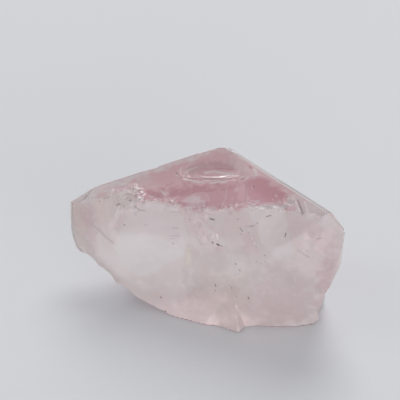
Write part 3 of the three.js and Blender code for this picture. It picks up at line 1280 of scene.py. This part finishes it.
    def enter_hollows(self, directions: Array, rough: Nearest) -> None:
        """Meets the hollows, each along those lines alone that pass near its spot.

        Args:
            directions: One unit row for each line.
            rough: Takes in where they are met.
        """
        for label, hollow in enumerate(self.hollows, len(self.faces)):
            towards = hollow.spot - self.middle
            away = np.linalg.norm(towards)
            widest = math.cos(math.asin(min(1.0, hollow.spot_radius / away)))
            lines = np.flatnonzero(directions @ (towards / away) > widest)
            if len(lines):
                reach = self.reach_of(np.full(len(lines), label), directions[lines])
                if hollow.ripple:
                    met = np.where(reach < FAR, reach, 0)[:, None]
                    reach += self.waves.at(self.middle + directions[lines] * met, hollow)
                rough.offer(lines, reach, label)

    def swell(self, directions: Array, reach: Array) -> Array:
        """What the relief adds to the reach of lines that meet the broken skin."""
        bare = self.middle + directions * np.minimum(reach, self.farthest)[:, None]
        return self.relief.at(bare, self.faces[0].distance - bare @ self.normals[0])

    def reach_of(self, labels: Array, directions: Array) -> Array:
        """How far each line goes until it meets its own surface, relief left out.

        Args:
            labels: The number of each line's surface, faces first and then hollows.
            directions: One unit row for each line.

        Returns:
            The reach, or FAR where the line misses.
        """
        count = len(self.faces)
        face = np.minimum(labels, count - 1)
        plane = until(self.room[face], np.einsum("ki,ki->k", self.normals[face], directions))
        hollow = np.clip(labels - count, 0, len(self.hollows) - 1)
        bent = np.einsum("kij,kj->ki", self.bends[hollow], directions)
        offset = self.offsets[hollow]
        a = np.einsum("ki,ki->k", bent, bent)
        b = np.einsum("ki,ki->k", bent, offset)
        c = np.einsum("ki,ki->k", offset, offset) - 1
        inner = b * b - a * c
        root = (-b - np.sqrt(np.maximum(inner, 0))) / a
        ball = np.where((inner > 0) & (root > 0), root, FAR)
        return np.where(labels < count, plane, ball)


class Nearest:
    """The nearest and the second nearest surface along each line."""

    def __init__(self, count: int) -> None:
        """Starts with nothing met.

        Args:
            count: The number of lines.
        """
        self.reach = np.full(count, FAR)
        self.second_reach = np.full(count, FAR)
        self.first = np.zeros(count, np.int64)
        self.second = np.zeros(count, np.int64)

    def offer(self, lines: Array, reach: Array, label: Array | int) -> None:
        """Takes in where some lines meet one more surface.

        Args:
            lines: The numbers of those lines.
            reach: Where each of them meets it.
            label: The number of the surface, or one for each line.
        """
        label = np.broadcast_to(label, lines.shape)
        nearer = reach < self.reach[lines]
        won = lines[nearer]
        self.second_reach[won], self.second[won] = self.reach[won], self.first[won]
        self.reach[won], self.first[won] = reach[nearer], label[nearer]
        next_one = ~nearer & (reach < self.second_reach[lines])
        won = lines[next_one]
        self.second_reach[won], self.second[won] = reach[next_one], label[next_one]

    def merged(self, other: Nearest) -> Nearest:
        """The nearest two surfaces of this and another set.

        Args:
            other: The other set, for the same lines.

        Returns:
            A new set.
        """
        lines = np.arange(len(self.reach))
        both = Nearest(len(lines))
        for each in (self, other):
            both.offer(lines, each.reach, each.first)
            both.offer(lines, each.second_reach, each.second)
        return both


# ------------------------------------------------------------------ the skin as a mesh


def facet_normals(points: Array, triangles: Array) -> Array:
    """Each triangle's normal, as long as twice its area."""
    corner = points[triangles]
    return np.cross(corner[:, 1] - corner[:, 0], corner[:, 2] - corner[:, 0])


def point_normals(points: Array, triangles: Array) -> Array:
    """Each point's unit normal, the mean of its triangles' weighed by their areas.

    Args:
        points: The points.
        triangles: The corners of the triangles.

    Returns:
        One normal for each point.
    """
    facets = np.repeat(facet_normals(points, triangles), 3, axis=0)
    corner = triangles.ravel()
    total = [np.bincount(corner, facets[:, k], len(points)) for k in range(3)]
    return unit(np.stack(total, axis=-1) + TINY)


def grid_cells(number: Array) -> Array:
    """The four corners, in turn, of every cell of a grid of numbered points."""
    ring = (number[:-1, :-1], number[1:, :-1], number[1:, 1:], number[:-1, 1:])
    return np.stack(ring, axis=-1).reshape(-1, 4)


def cut_finer(triangles: Array, wanted: Array, count: int) -> tuple[Array, Array]:
    """Cuts the wanted triangles in four, and those beside them so that no gap opens.

    Every side of a wanted triangle gets a new point at its middle. A triangle with three such
    sides becomes four, one with two becomes three, and one with a single one becomes two.

    Args:
        triangles: The corners of the triangles.
        wanted: Which of them are wanted finer.
        count: The number of points.

    Returns:
        The two ends of the side that each new point halves, and the new triangles. The new
        points' numbers follow on from count.
    """
    sides = np.sort(triangles[:, [[0, 1], [1, 2], [2, 0]]], axis=-1)
    key = sides[..., 0] * count + sides[..., 1]
    halved = np.unique(key[wanted])
    place = np.minimum(np.searchsorted(halved, key), len(halved) - 1)
    cut = halved[place] == key
    amount = cut.sum(axis=1)

    def picked(number: int, first: Array, *made: str) -> list[Array]:
        """The triangles that some of the old ones become.

        Args:
            number: How many of their sides are halved.
            first: The side that comes first for each triangle.
            made: The new triangles, by the corners a, b, c and the new points d, e, f that lie
                on the sides ab, bc and ca.

        Returns:
            One array for each new triangle.
        """
        these = amount == number
        order = (first[these, None] + np.arange(3)) % 3
        corner = np.take_along_axis(triangles[these], order, axis=1)
        middle = np.take_along_axis(place[these] + count, order, axis=1)
        known = dict(zip("abcdef", [*corner.T, *middle.T]))
        return [np.stack([known[letter] for letter in word], axis=1) for word in made]

    whole, first, after = 0 * amount, cut.argmax(axis=1), cut.argmin(axis=1) + 1
    made = [
        *picked(0, whole, "abc"), *picked(1, first, "adc", "dbc"),
        *picked(2, after, "dbe", "ade", "aec"), *picked(3, whole, "adf", "dbe", "fec", "def"),
    ]
    return np.stack([halved // count, halved % count], axis=1), np.concatenate(made)


@dataclass
class CrystalPiece:
    """The crystal: the stone's skin on the grid of a stretched cube, with its finish."""

    stone: Stone = field(default_factory=Stone)
    cells: tuple[int, int, int] = (132, 80, 72)  # of the cube, along X, Y and Z
    half_size: Triple = (21.8, 13, 12)     # mm, which stretch the cube into the stone's box
    box_middle: Triple = (-1, 0.6, 11.7)   # mm
    warp: float = 0.7                      # how far cells close up towards the box's edges
    snap: float = 0.5                      # a point this near a crease, in cells, moves onto it
    probe: float = 1e-3                    # radians over which a crease's slope is measured
    aslant: Triple = (0.31, 0.52, 0.8)     # a direction that no side of the cube runs along
    crease: float = 32                     # degrees between facets from which an edge is sharp
    soft_crease: float = 14                # the same along the crease of a grown face
    # each time that triangles are cut finer: how near they lie to a mark of the front, in
    # steps, and how far apart the two sides of a grown face's crease are there, in mm
    fine_reach: tuple[float, ...] = (0.85, 0.1)
    fine_gap: tuple[float, ...] = (0.1, 0)
    seen_from: Pair = (0, 0.15)            # cosines to the view where the skin turns into sight
    foot_fade: Pair = (0.1, 0.4)           # heights in mm where the marks' own relief sets in
    edge_width: float = 0.15               # of the grown faces' bright edges, crushed and partly a painted highlight, in mm
    lens_clear: float = 0.8                # how glassy the chip out of the end face is

    def cube(self) -> tuple[Array, Array, Array]:
        """The grid: directions out of the heart through points on the stone's box.

        Each side of the box has cells along both ways, at the tangent of evenly spaced angles,
        which makes them a little smaller towards its edges. Points that two sides share become
        one.

        Returns:
            The directions, the four corners of every cell, and each point's cell size in
            radians.
        """
        sides, quads, sizes, first = [], [], [], 0
        for axis in range(3):
            one, two = (axis + 1) % 3, (axis + 2) % 3
            lines = [
                np.tan(np.linspace(-1, 1, self.cells[k] + 1) * self.warp) / math.tan(self.warp)
                for k in (one, two)
            ]
            along, across = np.meshgrid(*lines, indexing="ij")
            number = np.arange(along.size).reshape(along.shape)
            for sign in (1, -1):
                side = np.empty((*along.shape, 3))
                side[..., axis], side[..., one], side[..., two] = sign, along, across * sign
                side = side * np.array(self.half_size) + self.box_middle
                side = unit(side - self.stone.middle)
                step = np.linalg.norm(np.diff(side, axis=0, append=side[-2:-1]), axis=-1)
                other = np.linalg.norm(np.diff(side, axis=1, append=side[:, -2:-1]), axis=-1)
                sides.append(side.reshape(-1, 3))
                sizes.append(np.minimum(step, other).ravel())
                quads.append(grid_cells(number) + first)
                first += along.size
        points = np.concatenate(sides)
        _, kept, same = np.unique(
            np.round(points * SAME).astype(np.int64), axis=0, return_index=True, return_inverse=True
        )
        return points[kept], same.ravel()[np.concatenate(quads)], np.concatenate(sizes)[kept]

    def snapped(self, directions: Array, sizes: Array) -> tuple[Array, Array]:
        """Moves points that lie near a crease onto it.

        A crease is where the two nearest surfaces have the same reach. Their difference is
        measured at the point and a small step away both ways, which gives its slope, and the
        point goes down that slope to where the difference is zero.

        Args:
            directions: One unit row for each point.
            sizes: Each point's cell size in radians.

        Returns:
            The new directions, and which points were moved.
        """
        stone = self.stone
        here = stone.survey(directions)
        one = unit(np.cross(directions, np.array(self.aslant)))
        two = np.cross(directions, one)
        rough = stone.is_broken(here.first), stone.is_broken(here.second)

        def difference(lines: Array, swell: Array) -> Array:
            """How much farther the second surface is than the first, relief included."""
            first = stone.reach_of(here.first, lines) + swell * rough[0]
            return stone.reach_of(here.second, lines) + swell * rough[1] - first

        gap = difference(directions, here.swell)
        slopes = []
        for side in (one, two):
            lines = unit(directions + self.probe * side)
            slopes.append((difference(lines, stone.swell(lines, here.reach)) - gap) / self.probe)
        steep = slopes[0] ** 2 + slopes[1] ** 2 + TINY
        away = np.abs(gap) / np.sqrt(steep)
        known = np.maximum(here.first, here.second) < stone.foot_label
        near = (away < self.snap * sizes) & (here.first != here.second) & known
        move = one * (slopes[0] * gap / steep)[:, None] + two * (slopes[1] * gap / steep)[:, None]
        return unit(directions - move * near[:, None]), near

    def triangles(self, points: Array, quads: Array, snapped: Array) -> Array:
        """Cuts every cell in two, along the crease where one runs through it.

        Args:
            points: The points of the skin.
            quads: The four corners of every cell.
            snapped: Which points lie on a crease.

        Returns:
            The corners of the triangles. The cut joins two points on a crease if it can, and
            otherwise it is the shorter one.
        """
        on = snapped[quads].astype(float)
        corner = points[quads]
        one = np.linalg.norm(corner[:, 0] - corner[:, 2], axis=1)
        two = np.linalg.norm(corner[:, 1] - corner[:, 3], axis=1)
        longer = (one - two) / (one + two)
        first = on[:, 0] + on[:, 2] - on[:, 1] - on[:, 3] > longer
        straight = np.concatenate([quads[:, [0, 1, 2]], quads[:, [0, 2, 3]]], axis=1)
        other = np.concatenate([quads[:, [0, 1, 3]], quads[:, [1, 2, 3]]], axis=1)
        return np.where(first[:, None], straight, other).reshape(-1, 3)

    def mesh(self) -> bpy.types.Mesh:
        """The closed mesh of the skin, with its masks and its sharp edges.

        A coarse skin comes first. Its triangles are cut finer where the marks ask for it, the
        marks' own relief is added, and the whole is moved so that its box has the solid's
        middle.

        Returns:
            The mesh, in metres.
        """
        directions, quads, sizes = self.cube()
        directions, snapped = self.snapped(directions, sizes)
        survey = self.stone.survey(directions)
        points = self.stone.middle + directions * survey.reach[:, None]
        triangles = self.triangles(points, quads, snapped)
        for reach, gap in zip(self.fine_reach, self.fine_gap):
            wanted = self.is_fine(survey, points, triangles, reach, gap)
            ends, triangles = cut_finer(triangles, wanted, len(points))
            sizes = np.concatenate([sizes, sizes[ends].mean(axis=1) / 2])
            added, on = self.snapped(unit(directions[ends].sum(axis=1)), sizes[len(points):])
            directions = np.concatenate([directions, added])
            snapped = np.concatenate([snapped, on])
            survey = survey.joined(self.stone.survey(added))
            points = self.stone.middle + directions * survey.reach[:, None]
        normals = point_normals(points, triangles)
        seen = smooth(*self.seen_from, normals @ self.stone.marks.view.towards())
        lifted = self.stone.marks.height(points) * seen * smooth(*self.foot_fade, points[:, 2])
        points += directions * lifted[:, None]
        low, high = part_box("crystal")
        wanted = np.array((low + high) / 2) / METRES
        middle = (points.min(axis=0) + points.max(axis=0)) / 2
        self.shift = np.array([wanted[0] - middle[0], wanted[1] - middle[1], 0])
        mesh = bpy.data.meshes.new("crystal_skin")
        mesh.from_pydata(((points + self.shift) * METRES).tolist(), [], triangles.tolist())
        grown = self.is_grown(survey.first) | self.is_grown(survey.second)
        self.mark_edges(mesh, triangles, points, snapped & grown)
        self.mark_masks(mesh, survey, points, seen)
        mesh.validate()
        LOG.info("skin: %d points, %d triangles, %s", len(points), len(triangles), self.shift)
        return mesh

    def is_fine(
        self, survey: Survey, points: Array, triangles: Array, reach: float, gap: float
    ) -> Array:
        """Picks the triangles in front that lie at a mark or at the crease of a grown face.

        Args:
            survey: What the line through each point meets.
            points: The points.
            triangles: The corners of the triangles.
            reach: How near to a mark they lie, in steps.
            gap: How far apart a crease's two sides are there, in mm.

        Returns:
            True for each triangle that is wanted finer.
        """
        stone = self.stone
        crease = self.is_grown(survey.first) != self.is_grown(survey.second)
        crease &= survey.second_reach - survey.reach < gap
        here = stone.marks.near(points, reach) | crease
        seen = facet_normals(points, triangles) @ stone.marks.view.towards() > 0
        return seen & here[triangles].any(axis=1)

    def is_grown(self, labels: Array) -> Array:
        """True for labels of grown faces."""
        return ~self.stone.is_broken(labels) & (labels != self.stone.resting_label)

    def mark_edges(
        self, mesh: bpy.types.Mesh, triangles: Array, points: Array, snapped: Array
    ) -> None:
        """Marks the edges that are sharp.

        Args:
            mesh: The mesh to mark.
            triangles: The corners of its triangles.
            points: Its points.
            snapped: Which points lie on a crease beside a grown face.
        """
        normals = unit(facet_normals(points, triangles) + TINY)
        edge = np.empty(len(mesh.loops), np.int32)
        mesh.loops.foreach_get("edge_index", edge)
        pair = (np.argsort(edge, kind="stable") // 3).reshape(-1, 2)
        cosine = (normals[pair[:, 0]] * normals[pair[:, 1]]).sum(axis=1)
        bend = np.degrees(np.arccos(np.clip(cosine, -1, 1)))
        ends = np.empty(len(mesh.edges) * 2, np.int32)
        mesh.edges.foreach_get("vertices", ends)
        along = snapped[ends.reshape(-1, 2)].all(axis=1)
        sharp = (bend > self.crease) | (along & (bend > self.soft_crease))
        mark = mesh.attributes.new("sharp_edge", "BOOLEAN", "EDGE")
        mark.data.foreach_set("value", sharp)

    def mark_masks(
        self, mesh: bpy.types.Mesh, survey: Survey, points: Array, seen: Array
    ) -> None:
        """Stores what the finish needs to know about each point of the skin.

        Args:
            mesh: The mesh to store it on.
            survey: What the line through each point meets.
            points: The points.
            seen: The share of each point that looks to the front.
        """
        stone, marks = self.stone, self.stone.marks
        crease = self.is_grown(survey.first) != self.is_grown(survey.second)
        lens = np.isin(survey.first, stone.lens), np.isin(survey.second, stone.lens)
        # a bright line along the grown faces' creases out of the front's view: crushed edge and
        # painted highlight
        edge = np.exp(-(((survey.second_reach - survey.reach) / self.edge_width) ** 2))
        edge *= crease * (1 - seen) * ~lens[0] * ~lens[1]
        clear = np.maximum(marks.strength(Tone.CLEAR, points) * seen, self.lens_clear * lens[0])
        masks = {
            "broken": stone.is_broken(survey.first) * (1 - clear),
            "bevel": np.isin(survey.first, stone.bevels),
            "edge": edge,
            "speckled": marks.speckled(points) * seen,
        }
        for tone in (tone for tone in Tone if tone is not Tone.CLEAR):
            masks[tone.value] = marks.strength(tone, points) * seen
        for name, values in masks.items():
            layer = mesh.attributes.new(name, "FLOAT", "POINT")
            layer.data.foreach_set("value", np.asarray(values, np.float32))

    def build(self, finish: MorganiteFinish) -> None:
        """Makes the piece, dresses it and puts it in the place of its solid.

        Args:
            finish: The crystal's finish.
        """
        piece = bpy.data.objects.new("crystal_stone", self.mesh())
        bpy.context.scene.collection.objects.link(piece)
        piece.data.shade_smooth()
        piece.data.materials.append(finish.material())
        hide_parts("crystal")
        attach(piece, "root")
        LOG.info("crystal_stone: the whole crystal, on body root")


# ------------------------------------------------------------------ finishes


class Wiring:
    """A material's nodes, with short ways to add and join them."""

    def __init__(self, name: str) -> None:
        """Starts a material with nothing but its output.

        Args:
            name: The material's name.
        """
        self.material = bpy.data.materials.new(name)
        self.material.use_nodes = True
        self.tree = self.material.node_tree
        self.tree.nodes.clear()
        self.output = self.node("ShaderNodeOutputMaterial")

    def node(self, kind: str, inputs: dict | None = None, **settings: object) -> bpy.types.Node:
        """Adds a node.

        Args:
            kind: Blender's name for it.
            inputs: A value or an output for some of its inputs, by name or number.
            settings: What its other properties are set to.

        Returns:
            The node.
        """
        made = self.tree.nodes.new(kind)
        for key, value in settings.items():
            setattr(made, key, value)
        for key, value in (inputs or {}).items():
            if isinstance(value, Socket):
                self.tree.links.new(value, made.inputs[key])
            else:
                made.inputs[key].default_value = value
        return made

    def finish(self, **shaders: bpy.types.Node) -> bpy.types.Material:
        """The material, once each named input of its output has its shader."""
        for name, shader in shaders.items():
            self.tree.links.new(shader.outputs[0], self.output.inputs[name])
        return self.material

    def mask(self, name: str) -> Socket:
        """What the skin's masks say, by name."""
        return self.node("ShaderNodeAttribute", attribute_name=name).outputs["Fac"]

    def math(self, kind: str, *values: object) -> Socket:
        """Arithmetic on values or outputs."""
        return self.node("ShaderNodeMath", dict(enumerate(values)), operation=kind).outputs[0]

    def mix(self, share: object, one: object, other: object) -> Socket:
        """A colour that goes from one to the other as share goes from 0 to 1."""
        return self.node(
            "ShaderNodeMix", {0: share, 6: one, 7: other}, data_type="RGBA").outputs[2]

    def weigh(self, share: object, one: object, other: object) -> Socket:
        """A value that goes from one to the other as share goes from 0 to 1."""
        return self.node(
            "ShaderNodeMix", {0: share, 2: one, 3: other}, data_type="FLOAT").outputs[0]

    def noise(self, place: Socket, size: Pair, what: str = "Fac") -> Socket:
        """Noise on the object's own coordinates.

        Args:
            place: The coordinates.
            size: Its bumps to the millimetre, and how many times finer ones are added.
            what: Which output of the noise is wanted.

        Returns:
            That output.
        """
        given = {"Vector": place, "Scale": size[0] / METRES, "Detail": size[1]}
        return self.node("ShaderNodeTexNoise", given).outputs[what]

    def between(self, value: object, *span: float) -> Socket:
        """A value moved from the range low..high to the range start..end, and kept in it."""
        given = {"Value": value, **dict(enumerate(span, 1))}
        return self.node("ShaderNodeMapRange", given).outputs[0]


@dataclass(frozen=True)
class MorganiteFinish:
    """Clear pink beryl: glossy where it grew, bruised and frosted where it broke.

    A noise is given by its bumps to the millimetre and its detail. A span gives the values of
    a noise between which something goes from one strength to another: low, high, start, end.
    """

    ior: float = 1.58
    transmission: float = 0.5                 # the share of light that goes through the skin
    body_colour: Colour = (0.85, 0.30, 0.325, 1)  # what white light keeps of itself inside
    body_density: float = 9                   # how fast it takes that on, per metre
    gloss: float = 0.05                       # roughness of the grown faces
    bevel_gloss: float = 0.22
    rim_frost: float = 0.15                   # roughness of the bright lines, crushed skin and painted highlights
    frost: Pair = (0.30, 0.42)                # roughness of the broken skin, least and most
    frost_span: Pair = (0.35, 0.7)
    grown_colour: Colour = (0.92, 0.66, 0.70, 1)
    bevel_colour: Colour = (1, 0.96, 0.97, 1)
    broken_colour: Colour = (0.945, 0.885, 0.88, 1)
    # the white of the whitish tones, also of the painted sheen and highlights
    bloom_colour: Colour = (1, 0.99, 1, 1)
    rose_colour: Colour = (0.78, 0.44, 0.51, 1)
    honey_colour: Colour = (0.965, 0.91, 0.83, 1)
    shade_colour: Colour = (0.37, 0.31, 0.31, 1)
    stain_colour: Colour = (0.06, 0.04, 0.035, 1)
    cloud: Pair = (0.3, 3)                    # noise of the haze and of the bright edges, crushed and partly painted highlight
    crushed_span: Span = (0.4, 0.6, 0.1, 0.5)
    haze_span: Span = (0.5, 0.7, 0, 0.5)
    grain: Pair = (1.8, 4)                    # noise of the frost and of the unevenness
    fine: Pair = (3, 2)                       # noise of the deep spots in crumbled skin
    deep_span: Span = (0.42, 0.5, 0.7, 0)
    streaks: Pair = (2.2, 2)                  # noise of the pale upright streaks in it
    streak_stretch: Triple = (1, 1, 0.25)
    pale_span: Span = (0.48, 0.56, 0, 1)
    hair_cells: float = 0.4                   # cells to the millimetre between the hairlines
    hair_bend: Pair = (0.5, 2)                # noise that bends them
    hair_shift: float = 0.002                 # how far, in metres
    hair_width: float = 0.05                  # over a cell's width
    hair_strength: float = 0.5
    hair_span: Span = (0.5, 0.58, 0, 1)       # where in the grain they show
    rubble: float = 25                        # how much rougher the crumbled skin is
    bump_strength: float = 0.6
    bump_height: float = 0.00001              # in metres

    def hairlines(self, w: Wiring, place: Socket, grain: Socket) -> Socket:
        """The fine bright lines of the broken skin: the edges of bent cells, broken up.

        Args:
            w: The material's wiring.
            place: The object's coordinates.
            grain: The noise that breaks them up.

        Returns:
            How strong they are.
        """
        bent = w.node("ShaderNodeVectorMath", {
            "Vector": w.noise(place, self.hair_bend, "Color"),
            "Vector_001": (self.hair_shift,) * 3, "Vector_002": place,
        }, operation="MULTIPLY_ADD").outputs[0]
        cells = w.node("ShaderNodeTexVoronoi", {
            "Vector": bent, "Scale": self.hair_cells / METRES}, feature="DISTANCE_TO_EDGE")
        line = w.between(cells.outputs["Distance"], 0, self.hair_width, self.hair_strength, 0)
        return w.math("MULTIPLY", line, w.between(grain, *self.hair_span))

    def material(self) -> bpy.types.Material:
        """Builds the material: one clear shader with its substance in the volume.

        Returns:
            The material.
        """
        w = Wiring("morganite")
        place = w.node("ShaderNodeTexCoord").outputs["Object"]
        broken, bevel, crumble = w.mask("broken"), w.mask("bevel"), w.mask("crumble")
        cloud, grain, fine = (w.noise(place, size) for size in (self.cloud, self.grain, self.fine))
        upright = w.node("ShaderNodeMapping", {"Vector": place, "Scale": self.streak_stretch})
        streaks = w.noise(upright.outputs[0], self.streaks)
        # the edges' bright line: crushed skin and a painted highlight
        crushed_and_highlight = w.math("MULTIPLY", w.mask("edge"), w.between(cloud, *self.crushed_span))
        # the rim lines are whitened as well: crushed skin, partly painted highlights
        bright = w.math("MAXIMUM", w.mask("rim"), crushed_and_highlight)
        haze = w.math("MULTIPLY", broken, w.between(cloud, *self.haze_span))
        pale = w.math("MULTIPLY", crumble, w.between(streaks, *self.pale_span))
        deep = w.math("MULTIPLY", crumble, w.between(fine, *self.deep_span))
        hairs = w.math("MULTIPLY", broken, self.hairlines(w, place, grain))
        colour = w.mix(bevel, self.grown_colour, self.bevel_colour)
        for share, tint in (
            (broken, self.broken_colour),
            (haze, self.bloom_colour),
            (w.math("MAXIMUM", w.mask("rose"), deep), self.rose_colour),
            (w.mask("honey"), self.honey_colour),
            (w.math("MAXIMUM", w.mask("bloom"), pale), self.bloom_colour),
            (w.mask("shade"), self.shade_colour),
            (hairs, self.bloom_colour),
            (bright, self.bloom_colour),
            (w.mask("speckled"), self.stain_colour),
        ):
            colour = w.mix(share, colour, tint)
        glossy = w.math("MULTIPLY_ADD", bevel, self.bevel_gloss - self.gloss, self.gloss)
        frosted = w.between(grain, *self.frost_span, *self.frost)
        roughness = w.weigh(bright, w.weigh(broken, glossy, frosted), self.rim_frost)
        rubble = w.math("MULTIPLY", w.math("ADD", streaks, fine), crumble)
        uneven = w.math("MULTIPLY_ADD", rubble, self.rubble, w.math("MULTIPLY", grain, broken))
        bump = w.node("ShaderNodeBump", {
            "Height": uneven, "Strength": self.bump_strength, "Distance": self.bump_height,
        })
        return w.finish(
            Surface=w.node("ShaderNodeBsdfPrincipled", {
                "Base Color": colour, "Metallic": 0.0, "Roughness": roughness, "IOR": self.ior,
                "Transmission Weight": self.transmission, "Normal": bump.outputs[0],
            }),
            Volume=w.node("ShaderNodeVolumeAbsorption", {
                "Color": self.body_colour, "Density": self.body_density,
            }),
        )


# ------------------------------------------------------------------ the studio


def stand(name: str, data: bpy.types.ID, place: Vector, towards: Vector) -> bpy.types.Object:
    """Puts a light or a camera up.

    Args:
        name: Its name.
        data: What it is.
        place: Where it stands, in metres.
        towards: The direction out of what it looks at to where it stands.

    Returns:
        The object.
    """
    made = bpy.data.objects.new(name, data)
    made.location = place
    made.rotation_euler = towards.to_track_quat("Z", "Y").to_euler()
    bpy.context.scene.collection.objects.link(made)
    return made


@dataclass(frozen=True)
class Softbox:
    """A soft rectangular light that looks at the stone: degrees, metres, and its radiance."""

    name: str
    azimuth: float
    elevation: float
    away: float
    width: float
    height: float
    radiance: float

    def build(self, target: Vector) -> None:
        """Sets the light up.

        Args:
            target: What it looks at.
        """
        light = bpy.data.lights.new(self.name, "AREA")
        light.shape = "RECTANGLE"
        light.size, light.size_y = self.width, self.height
        light.energy = self.radiance * math.pi * self.width * self.height
        towards = Vector(facing(self.azimuth, self.elevation))
        stand(self.name, light, target + towards * self.away, towards)


@dataclass(frozen=True)
class Studio:
    """A plain pale floor under soft white light from all around. Lengths are in metres."""

    target: Triple = (0, 0, 0.01)    # what the lights look at
    floor_half: float = 3            # half its side
    floor_cells: int = 8
    floor_drop: float = 0.0001       # how far it lies below the resting face
    floor_colour: Colour = (0.80, 0.815, 0.85, 1)
    floor_roughness: float = 0.7
    floor_gloss: float = 0.2
    sky_colour: Colour = (1, 1, 1, 1)
    sky_strength: float = 0.42
    softboxes: tuple[Softbox, ...] = (
        Softbox("overhead", 78, 51, 4, 2.4, 2.4, 2.75),
        Softbox("back", 92, 25, 4, 2, 0.6, 6),
        Softbox("left", 175, 22, 4, 1.5, 1.5, 1.6),
        Softbox("front", -66, 7, 4, 5, 0.9, 6),
    )

    def build(self) -> None:
        """Lays the floor and lights it."""
        self.lay_floor()
        world = bpy.data.worlds.new("tent")
        world.use_nodes = True
        back = world.node_tree.nodes["Background"]
        back.inputs["Color"].default_value = self.sky_colour
        back.inputs["Strength"].default_value = self.sky_strength
        bpy.context.scene.world = world
        for softbox in self.softboxes:
            softbox.build(Vector(self.target))
        LOG.info("studio: floor, tent and %d softboxes", len(self.softboxes))

    def lay_floor(self) -> None:
        """A level square sheet, a grid of two parameters, a hair below the resting face."""
        line = np.linspace(-self.floor_half, self.floor_half, self.floor_cells + 1)
        x, y = np.meshgrid(line, line, indexing="ij")
        points = np.stack([x, y, 0 * x - self.floor_drop], axis=-1).reshape(-1, 3)
        mesh = bpy.data.meshes.new("floor_sheet")
        cells = grid_cells(np.arange(x.size).reshape(x.shape))
        mesh.from_pydata(points.tolist(), [], cells.tolist())
        floor = bpy.data.objects.new("floor", mesh)
        bpy.context.scene.collection.objects.link(floor)
        w = Wiring("pale_floor")
        mesh.materials.append(w.finish(Surface=w.node("ShaderNodeBsdfPrincipled", {
            "Base Color": self.floor_colour, "Roughness": self.floor_roughness,
            "Specular IOR Level": self.floor_gloss,
        })))


@dataclass(frozen=True)
class Camera:
    """The camera, at the eye of the front view.

    Attributes:
        view: The front view.
        sensor: Width of its picture in mm, which shows the whole sheet.
        nearest: How near it sees, in metres.
    """

    view: FrontView = FrontView()
    sensor: float = 36
    nearest: float = 0.01

    def build(self, shift: Array) -> None:
        """Sets the camera up as the scene's own.

        Args:
            shift: How far the stone was moved to its place, in mm.
        """
        view = self.view
        data = bpy.data.cameras.new("camera")
        data.sensor_width = self.sensor
        data.lens = self.sensor * view.away / (2 * view.half_sheet * view.step)
        data.clip_start = self.nearest
        target = Vector(np.array(view.middle) + shift)
        towards = Vector(view.towards())
        place = (target + towards * view.away) * METRES
        bpy.context.scene.camera = stand("camera", data, place, towards)


def set_light_paths(scene: bpy.types.Scene, bounces: int) -> None:
    """Lets light bounce often enough inside the clear stone.

    Args:
        scene: The scene.
        bounces: How often.
    """
    scene.view_settings.view_transform = "Standard"
    scene.cycles.max_bounces = bounces
    scene.cycles.transmission_bounces = bounces
    scene.cycles.glossy_bounces = bounces


def main() -> None:
    """Builds the crystal, the studio and the camera."""
    logging.basicConfig(level=logging.INFO, format="%(name)s: %(message)s")
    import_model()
    crystal = CrystalPiece()
    crystal.build(MorganiteFinish())
    Studio().build()
    Camera().build(crystal.shift)
    set_light_paths(bpy.context.scene, BOUNCES)


if __name__ == "__main__":
    main()
